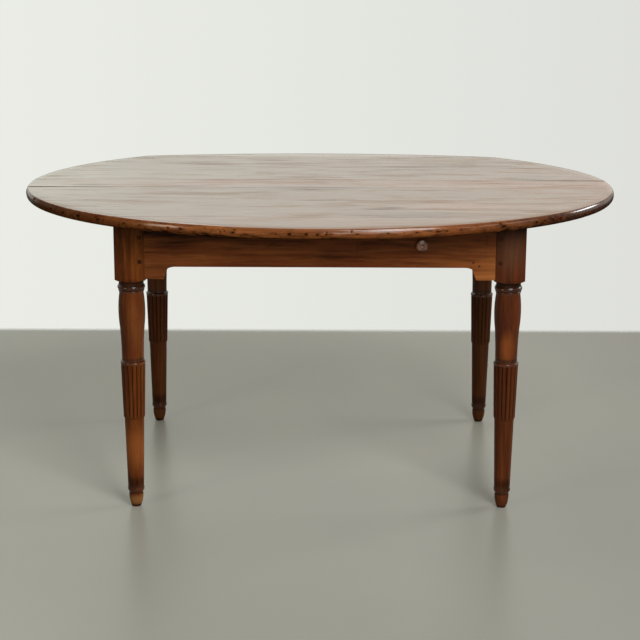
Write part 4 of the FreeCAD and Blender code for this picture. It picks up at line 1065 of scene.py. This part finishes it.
# %% [markdown]
# The world does three jobs, told apart by the kind of ray. To the camera it is a pale backdrop. To a glossy
# ray it is bright behind the table and darker in front, because the top mirrors what lies behind it. To
# everything else it is a dim soft fill, so that it puts no more light on the table than it should. One recipe
# lists the tones: each is mixed by a share from two colours, or from tones that come before it.

# %% World
world = bpy.data.worlds.new("studio")
scene.world = world
world.use_nodes = True
tree = world.node_tree
tree.nodes.clear()
rays = add(tree, "LightPath").outputs
toward = add(tree, "SeparateXYZ", {"Vector": add(tree, "TexCoord").outputs["Generated"]}).outputs
# Shares that grow toward the back, the right and the ground
back = add(tree, "MapRange", {"Value": toward["Y"], "From Min": -0.2, "From Max": 0.5},
           interpolation_type="SMOOTHSTEP").outputs["Result"]
right = add(tree, "MapRange", {"Value": toward["X"], "From Min": -0.2, "From Max": 0.2}).outputs["Result"]
down = add(tree, "MapRange", {"Value": toward["Z"], "From Min": -0.02, "From Max": -0.1}).outputs["Result"]
mirror_ray = add(tree, "Math", {0: rays["Is Glossy Ray"], 1: rays["Is Transmission Ray"]},
                 operation="MAXIMUM").outputs["Value"]
RECIPE = (
    ("bright", right, "#fafff6", "#f3eee6"),
    ("mirrored", back, "#4f504d", "bright"),
    ("soft", back, "#4a4b48", "#9c9c96"),
    ("around", mirror_ray, "soft", "mirrored"),
    ("grounded", down, "around", "#7d7d75"),
    ("backdrop", right, "#ebede6", "#dedfda"),
    ("sky", rays["Is Camera Ray"], "grounded", "backdrop"),
)
mixes = {}
for tone, share, first, second in RECIPE:
    sides = [mixes[side] if side in mixes else linear(side) for side in (first, second)]
    mixes[tone] = add(tree, "Mix", {0: share, 6: sides[0], 7: sides[1]}, data_type="RGBA").outputs[2]
background = add(tree, "Background", {"Color": mixes["sky"], "Strength": 1.0})
add(tree, "OutputWorld", {"Surface": background.outputs["Background"]})
print("world:", len(mixes), "tones")

# %% [markdown]
# Daylight comes softly from large windows. A sun lamp would draw hard shadows, so each window is an area
# lamp. The high one in front carries most of the light and draws the long shine on the rim. A warmer one low
# on the left lights the favourite grip, and a narrow one on the right gives the bright spot at the right end.
# The others only lift the shadows.

# %% Lamps
# Place and size in metres, and power in watts
LAMPS = {
    "window_front": ((1.2, -4.8, 1.6), (2.0, 1.6), 30),
    "window_high": ((1.5, -3.4, 3.5), (1.8, 2.6), 126),
    "window_left": ((-3.0, -2.8, 1.6), (0.9, 1.4), 25),
    "window_right": ((2.95, 0.7, 1.55), (1.1, 0.45), 23),
    "window_side": ((3.2, -2.1, 1.9), (2.0, 0.5), 7),
    "window_back": ((-1.6, 3.4, 3.6), (2.4, 1.2), 18),
    "ceiling_wide": ((0.0, -1.8, 3.6), (3.2, 2.4), 4),
}
DAYLIGHT = "#ffffff"
LAMP_TINTS = {"window_left": "#fff2d6"}
AIM = Vector((0, 0, 0.5))
for name, (place, size, power) in LAMPS.items():
    lamp_data = bpy.data.lights.new(name, "AREA")
    lamp_data.shape = "RECTANGLE"
    lamp_data.size, lamp_data.size_y = size
    lamp_data.energy = power
    lamp_data.color = linear(LAMP_TINTS.get(name, DAYLIGHT))[:3]
    lamp = bpy.data.objects.new(name, lamp_data)
    scene.collection.objects.link(lamp)
    lamp.location = place
    lamp.rotation_euler = (AIM - Vector(place)).to_track_quat("-Z", "Y").to_euler()
print("lamps:", len(LAMPS))
